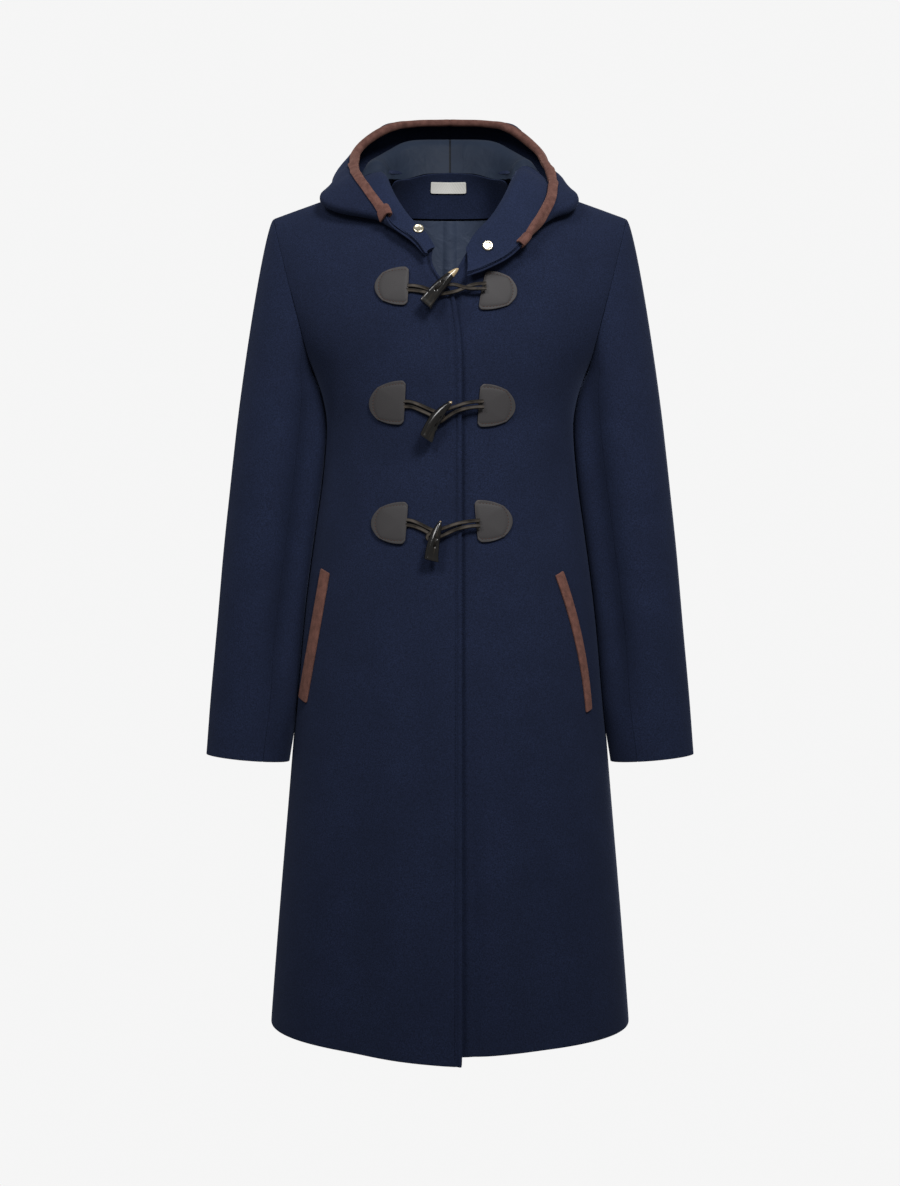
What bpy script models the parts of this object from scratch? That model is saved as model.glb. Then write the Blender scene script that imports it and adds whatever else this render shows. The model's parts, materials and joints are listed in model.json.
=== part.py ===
"""A hooded duffle coat, hollow and standing in the form it has when it is worn.

Metres, +Z up.  The front faces -Y and the wearer's left is +X, so "right" names are at -X.
The origin lies between the shoulders, level with the point where the shoulder seams meet
the neck.  Every cloth piece is a panel: a flat block of faces laid on a surface function.
"""
import math

import bmesh
import bpy
from mathutils import Vector

# ---------------------------------------------------------------- driving dimensions
MM = 0.001
SEAM = 0.4 * MM            # space between two pieces that are sewn edge to edge
WOOL = 2.5 * MM            # heavy coating wool, one ply
FRONT_WOOL = 3.0 * MM      # the fronts, faced with the same wool
FACING = 1.4 * MM          # wool facing inside the hood and the neck
LINING = 1.0 * MM          # satin lining
TAPE = 1.0 * MM            # suede binding
LEATHER = 2.2 * MM         # fastening patches
LOOSE = 3.0 * MM           # between the back and what hangs inside it
TRIM_GAP = 1.0 * MM        # between a front and what is sewn on it

HEM_Z = -0.980
PIT_Z = -0.227             # the bottom of the armholes
TIP_X = 0.206              # the outer end of the shoulder seam
TIP_Z = -0.038
SHOULDER_SLOPE = 0.35
NECK_HALF = 0.0765         # from the centre back to where the shoulder seam meets the neck
NECK_RISE = 0.040          # how much higher the back stands behind the neck
PIT_X = 0.157
SIDE_BOW = 2.2             # 2 is an ellipse, more is a squarer cross-section
FRONT_BOW = 2.0            # the same for the way the chest turns into the shoulder
BACK_BOW = 2.6             # and for the upper back
LAP_STEP = 2.4 * MM        # each front leaves the common surface by this where they overlap
LAP_REACH = 0.13           # and is back on it this far from the centre
LAP_TOP, LAP_FULL = -0.075, -0.125   # and above these levels
FLUTE = 4.0 * MM           # soft waves of the skirt at the hem
FLUTE_TOP = -0.45

LEFT, RIGHT = 1, -1
SIDE_NAMES = {LEFT: "left", RIGHT: "right"}

# level, half width, depth in front, depth behind
BODY = (
    (-0.985, 0.2065, 0.175, 0.165),
    (-0.834, 0.1960, 0.160, 0.152),
    (-0.694, 0.1855, 0.148, 0.142),
    (-0.593, 0.1780, 0.140, 0.136),
    (-0.483, 0.1680, 0.130, 0.125),
    (-0.401, 0.1570, 0.122, 0.108),
    (-0.345, 0.1490, 0.119, 0.100),
    (-0.289, 0.1445, 0.119, 0.098),
    (-0.264, 0.1460, 0.121, 0.100),
    (PIT_Z, PIT_X, 0.124, 0.104),
    (-0.180, 0.1850, 0.124, 0.104),
    (-0.130, 0.2040, 0.124, 0.104),
    (TIP_Z, 0.2220, 0.124, 0.104),
    (0.080, 0.2280, 0.124, 0.104),
)
# station round the neck (0 centre back, RIDGE the shoulder seam, 1 centre front), x, z
RIDGE = 0.6
NECK = (
    (0.00, 0.0000, 0.0330),
    (0.20, 0.0310, 0.0300),
    (0.40, 0.0560, 0.0220),
    (0.50, 0.0680, 0.0170),
    (RIDGE, NECK_HALF, 0.0073),
    (0.68, 0.0735, -0.0040),
    (0.76, 0.0635, -0.0290),
    (0.84, 0.0475, -0.0560),
    (0.92, 0.0290, -0.0760),
    (1.00, 0.0190, -0.0935),
)
# level, how far the front edge of each side lies past the centre line
FRONT_EDGE = {
    RIGHT: (
        (-0.990, 0.0130),
        (-0.240, 0.0130),
        (-0.194, 0.0120),
        (-0.165, 0.0084),
        (-0.145, 0.0044),
        (-0.133, -0.0044),
        (-0.1165, -0.0155),
        (-0.104, -0.0200),
        (-0.0935, -0.0190),
    ),
    LEFT: (
        (-0.990, 0.0300),
        (-0.240, 0.0300),
        (-0.180, 0.0240),
        (-0.136, 0.0045),
        (-0.1016, -0.0145),
        (-0.0935, -0.0190),
    ),
}
# how far down the arm, centre x, y, z, half width, half depth
SLEEVE = (
    (0.00, 0.1985, -0.003, -0.300, 0.0520, 0.0625),
    (0.12, 0.2030, -0.005, -0.343, 0.0520, 0.0620),
    (0.37, 0.2136, -0.010, -0.436, 0.0506, 0.0585),
    (0.59, 0.2221, -0.017, -0.518, 0.0484, 0.0545),
    (0.82, 0.2283, -0.024, -0.600, 0.0488, 0.0500),
    (1.00, 0.2344, -0.030, -0.6644, 0.0469, 0.0465),
)
SLEEVE_GAP = 0.9 * MM      # from each sleeve piece to the line where they meet
CAP = 0.45                 # the part of a sleeve's rows that lies above its first ring
UNDER_HALF_TURN = math.radians(63)   # the under sleeve, to each side of the inner line
ARM_GAP = 2.6 * MM         # between the hanging sleeve and the side of the coat
CREASE_DEPTH = 4.0 * MM
CREASE_TURN = math.radians(122)
CREASE_WIDTH = math.radians(13)

# The hood is swept round the neck.  At each station its cloth leaves the neck seam, passes
# over a roll and under a fold, like a belt over two round bars, and ends at its rim.
# Behind the neck it hangs free: station, turn from straight back, roll out, up and radius,
# fold out, up and radius, rim out and up, all from the neck seam
HOOD_BACK = (
    (0.00, 0, 0.018, 0.026, 0.011, 0.064, -0.130, 0.024, 0.086, 0.0800),
    (0.15, 20, 0.018, 0.026, 0.011, 0.065, -0.120, 0.024, 0.084, 0.0770),
    (0.30, 38, 0.018, 0.025, 0.011, 0.067, -0.090, 0.020, 0.072, 0.0640),
    (0.40, 52, 0.018, 0.018, 0.011, 0.070, -0.055, 0.016, 0.067, 0.0440),
    (0.50, 72, 0.019, 0.008, 0.010, 0.070, -0.022, 0.011, 0.052, 0.0230),
    (0.62, 92, 0.016, 0.004, 0.010, 0.068, -0.006, 0.008, 0.046, 0.0160),
)
# In front it lies on the coat, and its section stands on the line from the neck seam to
# the place where its fold rests: station, x and z of that place, fold radius, roll reach,
# height and radius, rim reach and height, all from the neck seam and the line
HOOD_FRONT = {
    LEFT: (
        (0.50, 0.1390, -0.0200, 0.0080, 0.0100, 0.0040, 0.0080, 0.0470, 0.0230),
        (0.60, 0.1390, -0.0260, 0.0075, 0.0100, 0.0040, 0.0080, 0.0480, 0.0190),
        (0.68, 0.1300, -0.0450, 0.0070, 0.0100, 0.0030, 0.0080, 0.0500, 0.0185),
        (0.76, 0.1110, -0.0540, 0.0064, 0.0090, 0.0010, 0.0070, 0.0500, 0.0180),
        (0.84, 0.0883, -0.0724, 0.0062, 0.0080, -0.0010, 0.0060, 0.0503, 0.0100),
        (0.92, 0.0617, -0.0954, 0.0062, 0.0070, -0.0020, 0.0050, 0.0448, 0.0088),
        (0.96, 0.0416, -0.1087, 0.0062, 0.0060, -0.0020, 0.0040, 0.0368, 0.0088),
        (1.00, 0.0190, -0.1175, 0.0062, 0.0050, -0.0020, 0.0030, 0.0310, 0.0088),
    ),
    RIGHT: (
        (0.50, 0.1390, -0.0200, 0.0080, 0.0080, 0.0030, 0.0070, 0.0350, 0.0225),
        (0.60, 0.1390, -0.0260, 0.0075, 0.0080, 0.0010, 0.0060, 0.0260, 0.0225),
        (0.68, 0.1200, -0.0460, 0.0065, 0.0070, 0.0000, 0.0055, 0.0220, 0.0215),
        (0.76, 0.0900, -0.0540, 0.0064, 0.0060, -0.0010, 0.0045, 0.0225, 0.0185),
        (0.80, 0.0763, -0.0581, 0.0062, 0.0050, -0.0010, 0.0040, 0.0260, 0.0150),
        (0.84, 0.0652, -0.0655, 0.0068, 0.0035, -0.0010, 0.0030, 0.0278, 0.0108),
        (0.92, 0.0398, -0.0801, 0.0070, 0.0025, -0.0010, 0.0020, 0.0200, 0.0098),
        (1.00, 0.0250, -0.0988, 0.0062, 0.0025, -0.0015, 0.0020, 0.0155, 0.0085),
    ),
}
# the stations between which the hanging part goes over into the lying part
HOOD_TURNS_FROM, HOOD_TURNS_TO = 0.50, 0.62
# the shares of the way along the cloth at which the straight and round stretches meet
HOOD_SHARES = (0.0, 1 / 15, 4 / 15, 7 / 15, 11 / 15, 1.0)
# the bag of the hood swells out beside the neck: how far, and at which stations
HOOD_BULGE = 0.022
BULGE_AT, BULGE_REACH = 0.40, 0.10
HOOD_ROWS = 15
HOOD_COLUMNS = 16
HOOD_GAP = 1.0 * MM        # between the hood and the coat it lies on
REST_GAP = 4.5 * MM        # and more than that under its fold
PLY_GAP = 0.8 * MM         # between the hood's shell and its facing or lining
# from each station on, the row at which the hood's lining gives way to its facing
FACING_FROM = ((0.0, 13), (0.40, 11), (0.60, 0))
BINDING_WIDE = 0.008
BINDING_TAPER = 0.4        # the share by which the tape narrows to its ends
BINDING_GAP = 1.7 * MM     # between the tape and the two plies that it covers
BINDING_END = {LEFT: 13, RIGHT: 12}     # the hood's column at which the tape ends


# ---------------------------------------------------------------- small helpers
def slope(table, row, column):
    """The slope of a column at a row of a table."""
    low = max(row - 1, 0)
    high = min(row + 1, len(table) - 1)
    return (table[high][column] - table[low][column]) / (table[high][0] - table[low][0])


def read(table, at):
    """The columns of a table at any value of its first one, on a smooth curve."""
    if at <= table[0][0]:
        return table[0][1:]
    if at >= table[-1][0]:
        return table[-1][1:]
    row = max(index for index, entry in enumerate(table) if entry[0] <= at)
    start, end = table[row], table[row + 1]
    span = end[0] - start[0]
    t = (at - start[0]) / span
    values = []
    for column in range(1, len(start)):
        lean_start = slope(table, row, column) * span
        lean_end = slope(table, row + 1, column) * span
        values.append(
            start[column] * (2 * t**3 - 3 * t**2 + 1)
            + lean_start * (t**3 - 2 * t**2 + t)
            + end[column] * (3 * t**2 - 2 * t**3)
            + lean_end * (t**3 - t**2)
        )
    return values


def mix(start, end, share):
    return start + (end - start) * share


def ease(value):
    """0 below 0, 1 above 1, and a soft step between."""
    value = min(max(value, 0.0), 1.0)
    return value * value * (3 - 2 * value)


def curve_through(points, t):
    """A point on one smooth curve through the points, spaced by their distances."""
    knots = [0.0]
    for first, second in zip(points, points[1:]):
        knots.append(knots[-1] + max((second - first).length, 1e-5) ** 0.5)
    table = [(knot, *point) for knot, point in zip(knots, points)]
    return Vector(read(table, t * knots[-1]))


def finish(name, colour, roughness, metallic=0.0):
    material = bpy.data.materials.new(name)
    material.use_nodes = True
    shader = material.node_tree.nodes["Principled BSDF"]
    shader.inputs["Base Color"].default_value = (*colour, 1.0)
    shader.inputs["Roughness"].default_value = roughness
    shader.inputs["Metallic"].default_value = metallic
    material.diffuse_color = (*colour, 1.0)
    return material


def to_object(name, mesh, material, crease=40):
    """Closes a bmesh into a smooth shaded object with its faces pointing out."""
    bmesh.ops.recalc_face_normals(mesh, faces=mesh.faces[:])
    if mesh.calc_volume(signed=True) < 0:
        bmesh.ops.reverse_faces(mesh, faces=mesh.faces[:])
    data = bpy.data.meshes.new(name)
    mesh.to_mesh(data)
    mesh.free()
    data.shade_smooth()
    data.set_sharp_from_angle(angle=math.radians(crease))
    data.materials.append(material)
    thing = bpy.data.objects.new(name, data)
    bpy.context.scene.collection.objects.link(thing)
    return thing


def standing(place, sign):
    """Turns a surface function into one that also moves off it, along its normal."""
    step = 0.002

    def stand_off(u, v, stand):
        across = place(min(u + step, 1.0), v) - place(max(u - step, 0.0), v)
        along = place(u, min(v + step, 1.0)) - place(u, max(v - step, 0.0))
        return place(u, v) + across.cross(along).normalized() * stand * sign

    return stand_off


CUT_SHARE = 0.06           # of a face, by which a cut edge draws back from its neighbour


def panel(name, place, columns, rows, near, far, material, keep=None):
    """A wall of cloth: a flat block of faces laid between two distances off a surface.

    keep, a function of the column and row, says which faces of the grid are cloth.
    """
    mesh = bmesh.new()
    bmesh.ops.create_grid(mesh, x_segments=columns, y_segments=rows, size=0.5)
    if keep:
        spare = []
        for face in mesh.faces:
            middle = face.calc_center_median()
            column = math.floor((middle.x + 0.5) * columns)
            row = math.floor((middle.y + 0.5) * rows)
            if not keep(column, row):
                spare.append(face)
        cut = {vert for face in spare for vert in face.verts}
        cut = [vert for vert in cut if any(face not in spare for face in vert.link_faces)]
        bmesh.ops.delete(mesh, geom=spare, context="FACES")
        for vert in cut:
            faces = vert.link_faces
            middle = sum((face.calc_center_median() for face in faces), Vector()) / len(faces)
            vert.co = vert.co.lerp(middle, CUT_SHARE)
    grown = bmesh.ops.extrude_face_region(mesh, geom=mesh.faces[:], use_keep_orig=True)
    raised = [item for item in grown["geom"] if isinstance(item, bmesh.types.BMVert)]
    bmesh.ops.translate(mesh, verts=raised, vec=(0, 0, 1))
    for vert in mesh.verts:
        stand = far if vert.co.z > 0.5 else near
        vert.co = place(vert.co.x + 0.5, vert.co.y + 0.5, stand)
    return to_object(name, mesh, material)


def rod(name, place, sides, rings, material):
    """A closed bar: a disc extruded ring by ring, then laid through place(turn, along)."""
    mesh = bmesh.new()
    bmesh.ops.create_circle(mesh, cap_ends=True, segments=sides, radius=1.0)
    cap = mesh.faces[:]
    for ring in range(rings):
        grown = bmesh.ops.extrude_face_region(mesh, geom=cap, use_keep_orig=True)["geom"]
        if ring > 0:
            bmesh.ops.delete(mesh, geom=cap, context="FACES_ONLY")
        cap = [item for item in grown if isinstance(item, bmesh.types.BMFace)]
        raised = [item for item in grown if isinstance(item, bmesh.types.BMVert)]
        bmesh.ops.translate(mesh, verts=raised, vec=(0, 0, 1))
    for vert in mesh.verts:
        vert.co = place(math.atan2(vert.co.y, vert.co.x), vert.co.z / rings)
    return to_object(name, mesh, material)


# ---------------------------------------------------------------- the form of the body
def ridge_z(x, way):
    """The height of the shoulder line over x; behind the neck the back runs on higher."""
    height = TIP_Z + SHOULDER_SLOPE * (TIP_X - abs(x))
    if way > 0:
        height += NECK_RISE * max(0.0, 1 - (x / NECK_HALF) ** 2)
    return height


def arm_x(z):
    """The plane of the armhole seam, which leans out from the pit to the shoulder tip."""
    return mix(PIT_X, TIP_X, (z - PIT_Z) / (TIP_Z - PIT_Z))


def body_y(x, z, way):
    """The front (way -1) or back (way 1) surface of the coat over a point of its face."""
    half, front, back = read(BODY, z)
    depth, bow = (front, FRONT_BOW) if way < 0 else (back, BACK_BOW)
    across = min(abs(x) / half, 1.0)
    rise = min(max((z - PIT_Z) / (ridge_z(x, way) - PIT_Z), 0.0), 1.0)
    reach = depth * (1 - across**SIDE_BOW) ** (1 / SIDE_BOW) * (1 - rise**bow) ** (1 / bow)
    return way * max(reach, SEAM / 2)


def drape(point):
    """Adds the soft waves of the skirt, which grow towards the hem."""
    turn = math.atan2(point.x, -point.y)
    strength = ease((FLUTE_TOP - point.z) / (FLUTE_TOP - HEM_Z))
    wave = FLUTE * strength * math.cos(5 * turn) / 0.18
    return Vector((point.x * (1 + wave), point.y * (1 + wave), point.z))


def clear_of_body(point, gap):
    """Moves a point that is too near the upper body straight out to the gap."""
    way = -1 if point.y < 0 else 1
    half, front, back = read(BODY, point.z)
    if point.z <= PIT_Z or abs(point.x) >= 0.998 * half:
        return point
    depth, bow = (front, FRONT_BOW) if way < 0 else (back, BACK_BOW)
    reach = depth * (1 - (abs(point.x) / half) ** SIDE_BOW) ** (1 / SIDE_BOW)
    tall = ridge_z(point.x, way) - PIT_Z
    out, up = abs(point.y) / reach, (point.z - PIT_Z) / tall
    size = (out**bow + up**bow) ** (1 / bow)
    steep = math.hypot(out ** (bow - 1) / reach, up ** (bow - 1) / tall) / size ** (bow - 1)
    wanted = 1 + gap * steep
    if size >= wanted:
        return point
    grow = wanted / size
    return Vector((point.x, point.y * grow, PIT_Z + (point.z - PIT_Z) * grow))


def clear_of_side(point, gap):
    """Moves a point of a sleeve out of the side of the body below the armhole."""
    if point.z >= PIT_Z:
        return point
    half, front, back = read(BODY, point.z)
    depth = front if point.y < 0 else back
    size = ((abs(point.x) / half) ** SIDE_BOW + (abs(point.y) / depth) ** SIDE_BOW)
    size = size ** (1 / SIDE_BOW)
    wanted = 1 + gap / half
    if size >= wanted:
        return point
    return Vector((point.x * wanted / size, point.y * wanted / size, point.z))


def body_point(x, z, way, stand=0.0, side=None):
    """A point off the body over x and z; side names a front, which steps at the lap."""
    step = 0.5 * MM
    sign = math.copysign(1.0, x)
    x = abs(x)

    def depth(at_x, at_z):
        return front_y(side, at_x, at_z) if side else body_y(at_x, at_z, way)

    y = depth(x, z)
    lean = (y - depth(x - step, z)) / step
    fall = (y - depth(x, z - step)) / step
    normal = Vector((-way * lean, way, -way * fall)).normalized()
    point = Vector((x, y, z)) + normal * stand
    point.y = way * max(way * point.y, SEAM / 2)
    return drape(Vector((sign * point.x, point.y, point.z)))


# ---------------------------------------------------------------- fronts and back
BODY_ROWS = 20
LOWER_SHARE = 0.6          # the share of a panel's rows that lies below the armhole


def row_level(v, low, high):
    """Rows below the armhole, closer together towards it."""
    return mix(low, high, 1 - (1 - v / LOWER_SHARE) ** 1.35)


def neck_point(side, station):
    """A point of the neck seam."""
    x, z = read(NECK, station)
    way = -1 if station > RIDGE else 1
    y = body_y(x, z, way) if way > 0 else front_y(side, x, z)
    if abs(station - RIDGE) < 1e-6:
        y = 0.0
    return Vector((side * x, y, z))


def front_y(side, x, z):
    """The outer surface of a front: the right one steps out where they overlap."""
    step = LAP_STEP * (1 - ease((abs(x) - 0.04) / (LAP_REACH - 0.04)))
    step *= ease((z - LAP_TOP) / (LAP_FULL - LAP_TOP))
    return body_y(x, z, -1) + side * step


def front_place(side):
    """The front of one side: u from its front edge to the side, v from hem to top."""
    neck_share = 5 / 12
    drop = 5 * MM if side == RIGHT else 0.0

    def place(u, v, stand):
        if u <= neck_share:
            top_x, top_z = read(NECK, mix(1.0, RIDGE, u / neck_share))
        else:
            top_x = mix(NECK_HALF, TIP_X - SEAM / 2, (u - neck_share) / (1 - neck_share))
            top_z = ridge_z(top_x, -1)
        hem = HEM_Z - drop * (1 - u) ** 2
        low = min(v / LOWER_SHARE, 1.0)
        z = row_level(low * LOWER_SHARE, hem, PIT_Z)
        half = read(BODY, z)[0]
        edge = -read(FRONT_EDGE[side], z)[0]
        turn = mix(math.asin(edge / half), math.pi / 2, u)
        x = half * math.sin(turn)
        if v > LOWER_SHARE:
            climb = (v - LOWER_SHARE) / (1 - LOWER_SHARE)
            climb = mix(climb, math.sin(climb * math.pi / 2), ease(2 * u))
            z = mix(PIT_Z, top_z, climb)
            bend = -read(FRONT_EDGE[side], z)[0] - mix(edge, NECK[-1][1], climb)
            x = mix(x, top_x, climb) + bend * (1 - u) ** 2
            x = min(x, arm_x(z) - SEAM / 2)
        point = body_point(x, z, -1, stand, side)
        return Vector((side * point.x, point.y, point.z))

    return place


def back_place(u, v, stand):
    """The whole back: u from the wearer's left to the right, v from hem to top."""
    neck_share = 0.4
    out = 1 - 2 * u
    side = math.copysign(1.0, out)
    out = abs(out)
    if out <= neck_share:
        top_x, top_z = read(NECK, mix(0.0, RIDGE, out / neck_share))
    else:
        top_x = mix(NECK_HALF, TIP_X - SEAM / 2, (out - neck_share) / (1 - neck_share))
        top_z = ridge_z(top_x, 1)
    z = row_level(min(v, LOWER_SHARE), HEM_Z, PIT_Z)
    x = read(BODY, z)[0] * math.sin(out * math.pi / 2)
    if v > LOWER_SHARE:
        climb = (v - LOWER_SHARE) / (1 - LOWER_SHARE)
        climb = mix(climb, math.sin(climb * math.pi / 2), ease(2 * out))
        z = mix(PIT_Z, top_z, climb)
        x = min(mix(x, top_x, climb), arm_x(z) - SEAM / 2)
    point = body_point(x, z, 1, stand)
    return Vector((side * point.x, point.y, point.z))


# ---------------------------------------------------------------- sleeves
def armhole(turn):
    """The armhole seam: turn 0 at the shoulder tip, a quarter turn at the front."""
    z = mix(PIT_Z, TIP_Z, (1 + math.cos(turn)) / 2)
    x = arm_x(z)
    way = -1 if math.sin(turn) > 0 else 1
    y = body_y(x, z, way) if abs(math.sin(turn)) > 1e-6 else 0.0
    return Vector((x + SEAM / 2, y, z))


def sleeve_ring(turn, down):
    """A point of the sleeve on a ring square to its length."""
    x, y, z, wide, deep = read(SLEEVE, down)
    step = 0.01
    above = Vector(read(SLEEVE, max(down - step, 0.0))[:3])
    below = Vector(read(SLEEVE, min(down + step, 1.0))[:3])
    run = (below - above).normalized()
    outward = Vector((-run.z, 0, run.x))
    return (Vector((x, y, z)) + outward * wide * math.cos(turn)
            + Vector((0, -1, 0)) * deep * math.sin(turn)), run


def sleeve_place(side, first, last):
    """A sleeve panel between two turns round the arm, v from the armhole to the cuff."""
    def place(u, v):
        turn = mix(first, last, u)
        if v < CAP:
            t = v / CAP
            start = armhole(turn)
            end, run = sleeve_ring(turn, 0.0)
            pit = (1 - math.cos(turn)) / 2
            span = (end - start).length
            along_shoulder = Vector((0.944, -0.5 * math.sin(turn), -0.33)) * 0.03
            down_side = Vector((-0.38, 0, -1.0)) * 0.4 * span
            leave = along_shoulder.lerp(down_side, pit)
            arrive = run * span
            point = (start * (2 * t**3 - 3 * t**2 + 1) + leave * (t**3 - 2 * t**2 + t)
                     + end * (3 * t**2 - 2 * t**3) + arrive * (t**3 - t**2))
        else:
            point, run = sleeve_ring(turn, (v - CAP) / (1 - CAP))
        trough = math.exp(-((turn - CREASE_TURN) / CREASE_WIDTH) ** 2)
        trough *= ease((-0.12 - point.z) / 0.10) * ease((point.z + 0.50) / 0.16)
        point = point + Vector((0.3, 0.95, 0)) * CREASE_DEPTH * trough
        if point.z > PIT_Z:
            point.x = max(point.x, arm_x(point.z) + SEAM / 2)
        near = mix(SEAM / 2, ARM_GAP, ease((PIT_Z - point.z) / 0.03))
        point = clear_of_side(point, near)
        return Vector((side * point.x, point.y, point.z))

    return place


# ---------------------------------------------------------------- hood
def turned(angle):
    return Vector((math.cos(angle), math.sin(angle)))


def belt(roll, roll_radius, fold, fold_radius, rim):
    """The straight and round stretches from the neck over the roll and under the fold."""
    to_roll = -roll
    first = math.atan2(to_roll.y, to_roll.x) % (2 * math.pi)
    first -= math.acos(min(roll_radius / to_roll.length, 1.0))
    between = fold - roll
    cross = math.atan2(between.y, between.x)
    cross += math.acos(min((roll_radius + fold_radius) / between.length, 1.0))
    to_rim = rim - fold
    last = math.atan2(to_rim.y, to_rim.x)
    last -= math.acos(min(fold_radius / to_rim.length, 1.0))
    return first, min(cross, first), cross - math.pi, max(last, cross - math.pi)


def belt_point(row, v):
    """A point of the hood's cross-section, out and up from the neck seam."""
    roll, roll_radius = Vector(row[0:2]), row[2]
    fold, fold_radius = Vector(row[3:5]), row[5]
    rim = Vector(row[6:8])
    on_roll, off_roll, on_fold, off_fold = belt(roll, roll_radius, fold, fold_radius, rim)
    stretch = max(index for index in range(5) if HOOD_SHARES[index] <= v + 1e-9)
    start, end = HOOD_SHARES[stretch:stretch + 2]
    t = min((v - start) / (end - start), 1.0)
    if stretch == 0:
        return (roll + turned(on_roll) * roll_radius) * t
    if stretch == 1:
        return roll + turned(mix(on_roll, off_roll, t)) * roll_radius
    if stretch == 2:
        leave = roll + turned(off_roll) * roll_radius
        return leave.lerp(fold + turned(on_fold) * fold_radius, t)
    if stretch == 3:
        return fold + turned(mix(on_fold, off_fold, t)) * fold_radius
    return (fold + turned(off_fold) * fold_radius).lerp(rim, t)


def hanging_point(side, station, v):
    """A point of the hood's outer face where it hangs behind the neck."""
    turn, *row = read(HOOD_BACK, station)
    turn = math.radians(turn)
    out = Vector((side * math.sin(turn), math.cos(turn), 0))
    reach, rise = belt_point(row, v)
    outer = max(v - HOOD_SHARES[4], 0.0) / (1 - HOOD_SHARES[4])
    bulge = HOOD_BULGE * math.exp(-(((station - BULGE_AT) / BULGE_REACH) ** 2))
    reach += bulge * math.sin(math.pi * outer) ** 2
    return neck_point(side, station) + out * reach + Vector((0, 0, rise + HOOD_GAP))


def lying_point(side, station, v):
    """A point of the hood's outer face where it lies on the shoulder and the front."""
    x, z, fold_radius, *roll, rim_reach, rim_height = read(HOOD_FRONT[side], station)
    start = neck_point(side, station)
    rest = on_front(side, x, z, REST_GAP)
    normal = (rest - on_front(side, x, z, 0.0)).normalized()
    along = (rest - start).normalized()
    off = (normal - along * normal.dot(along)).normalized()
    fold = ((rest - start).length, fold_radius, fold_radius)
    reach, height = belt_point((*roll[0:2], roll[2], *fold, rim_reach, rim_height), v)
    return start + along * reach + off * (height + HOOD_GAP)


def hood_surface(side):
    """The outer face of one half of the hood: u from centre back to front, v to the rim."""
    def place(u, v):
        station = mix(0.004, 1.0, u)
        lying = ease((station - HOOD_TURNS_FROM) / (HOOD_TURNS_TO - HOOD_TURNS_FROM))
        if lying == 0:
            return hanging_point(side, station, v)
        if lying == 1:
            return lying_point(side, station, v)
        return hanging_point(side, station, v).lerp(lying_point(side, station, v), lying)

    return place


def facing_keep(column, row):
    """The faces of the hood's grid that its facing covers; the lining has the others."""
    station = (column + 0.5) / HOOD_COLUMNS
    return row >= max(entry for entry in FACING_FROM if entry[0] <= station)[1]


def from_rim(place, u, distance):
    """The v that lies this far from the rim, measured along the cloth."""
    v, step, walked = 1.0, 0.01, 0.0
    here = place(u, v)
    while walked < distance and v > step:
        v -= step
        there = place(u, v)
        last = (there - here).length
        walked += last
        here = there
    return v + step * (walked - distance) / last


def binding_surface(side):
    """The tape round the rim, v from its edge on the facing over the rim to the shell."""
    surface = hood_surface(side)
    place = standing(surface, side)
    last = BINDING_END[side] / HOOD_COLUMNS

    def tape(u, v, stand):
        u = u * last
        near_end = ease((u - 0.62) / 0.12)
        row = round(v * 5)
        gap = BINDING_GAP * (1 + near_end) + stand
        height = WOOL + PLY_GAP + FACING + gap if row < 3 else -gap
        if row in (2, 3):
            run = (surface(u, 1.0) - surface(u, 0.98)).normalized()
            return place(u, 1.0, height) + run * gap
        inset = BINDING_WIDE * (0.5 if row in (1, 4) else 1.0)
        inset *= 1 - BINDING_TAPER * near_end
        return place(u, from_rim(surface, u, inset), height)

    return tape


# ---------------------------------------------------------------- things that lie on a front
def on_front(side, x, z, stand):
    """A point off the outer face of a front; x is measured from the centre to its side."""
    point = body_point(x, z, -1, stand, side)
    return Vector((side * point.x, point.y, point.z))


# side, x of the straight edge, z of its middle, width, height
PATCHES = (
    (RIGHT, 0.0457, -0.1345, 0.0370, 0.0430),
    (LEFT, 0.0344, -0.1388, 0.0390, 0.0440),
    (RIGHT, 0.0500, -0.2640, 0.0390, 0.0470),
    (LEFT, 0.0320, -0.2670, 0.0395, 0.0465),
    (RIGHT, 0.0480, -0.3977, 0.0380, 0.0465),
    (LEFT, 0.0287, -0.3955, 0.0395, 0.0465),
)


def patch_place(side, edge_x, middle_z, wide, tall):
    """A D of leather: its straight edge stands towards the centre front."""
    def place(u, v, stand):
        a, b = 2 * u - 1, 2 * v - 1
        if a > 0:
            a, b = a * math.sqrt(1 - b * b / 2), b * math.sqrt(1 - a * a / 2)
        x = edge_x + wide * (a + 1) / 2
        return on_front(side, x, middle_z + b * tall / 2, stand)

    return place


# side, x and z of the upper end, x and z of the lower end
WELTS = (
    (RIGHT, 0.1400, -0.4500, 0.1660, -0.5970),
    (LEFT, 0.1225, -0.4530, 0.1560, -0.6080),
)
WELT_WIDE = 9.5 * MM


def welt_place(side, top_x, top_z, low_x, low_z):
    """The taped mouth of a slanted pocket."""
    def place(u, v, stand):
        x = mix(low_x, top_x, v) + WELT_WIDE * (u - 0.5)
        z = mix(low_z, top_z, v) + WELT_WIDE * 0.6 * (u - 0.5)
        return on_front(side, x, z, stand)

    return place


# ---------------------------------------------------------------- inside the back
NECK_FACING_HALF = 0.082
NECK_FACING_END = -0.0225
BACK_LINING_END = -0.330
BACK_LINING_TURN = math.radians(57)
PLEAT = 4.0 * MM
PLEAT_WIDE = 5.0 * MM


def back_top(x, below):
    """The highest level for something inside the back at x: the neck or the shoulder."""
    if abs(x) < NECK_HALF:
        return read(tuple((row[1], row[2]) for row in NECK[:5]), abs(x))[0]
    return ridge_z(x, 1) - below


def neck_facing_place(u, v, stand):
    """The facing below the back of the neck, its lower edge level."""
    x = mix(NECK_FACING_HALF, -NECK_FACING_HALF, u)
    z = mix(NECK_FACING_END, back_top(x, 0.007), v)
    return body_point(x, z, 1, stand)


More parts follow.
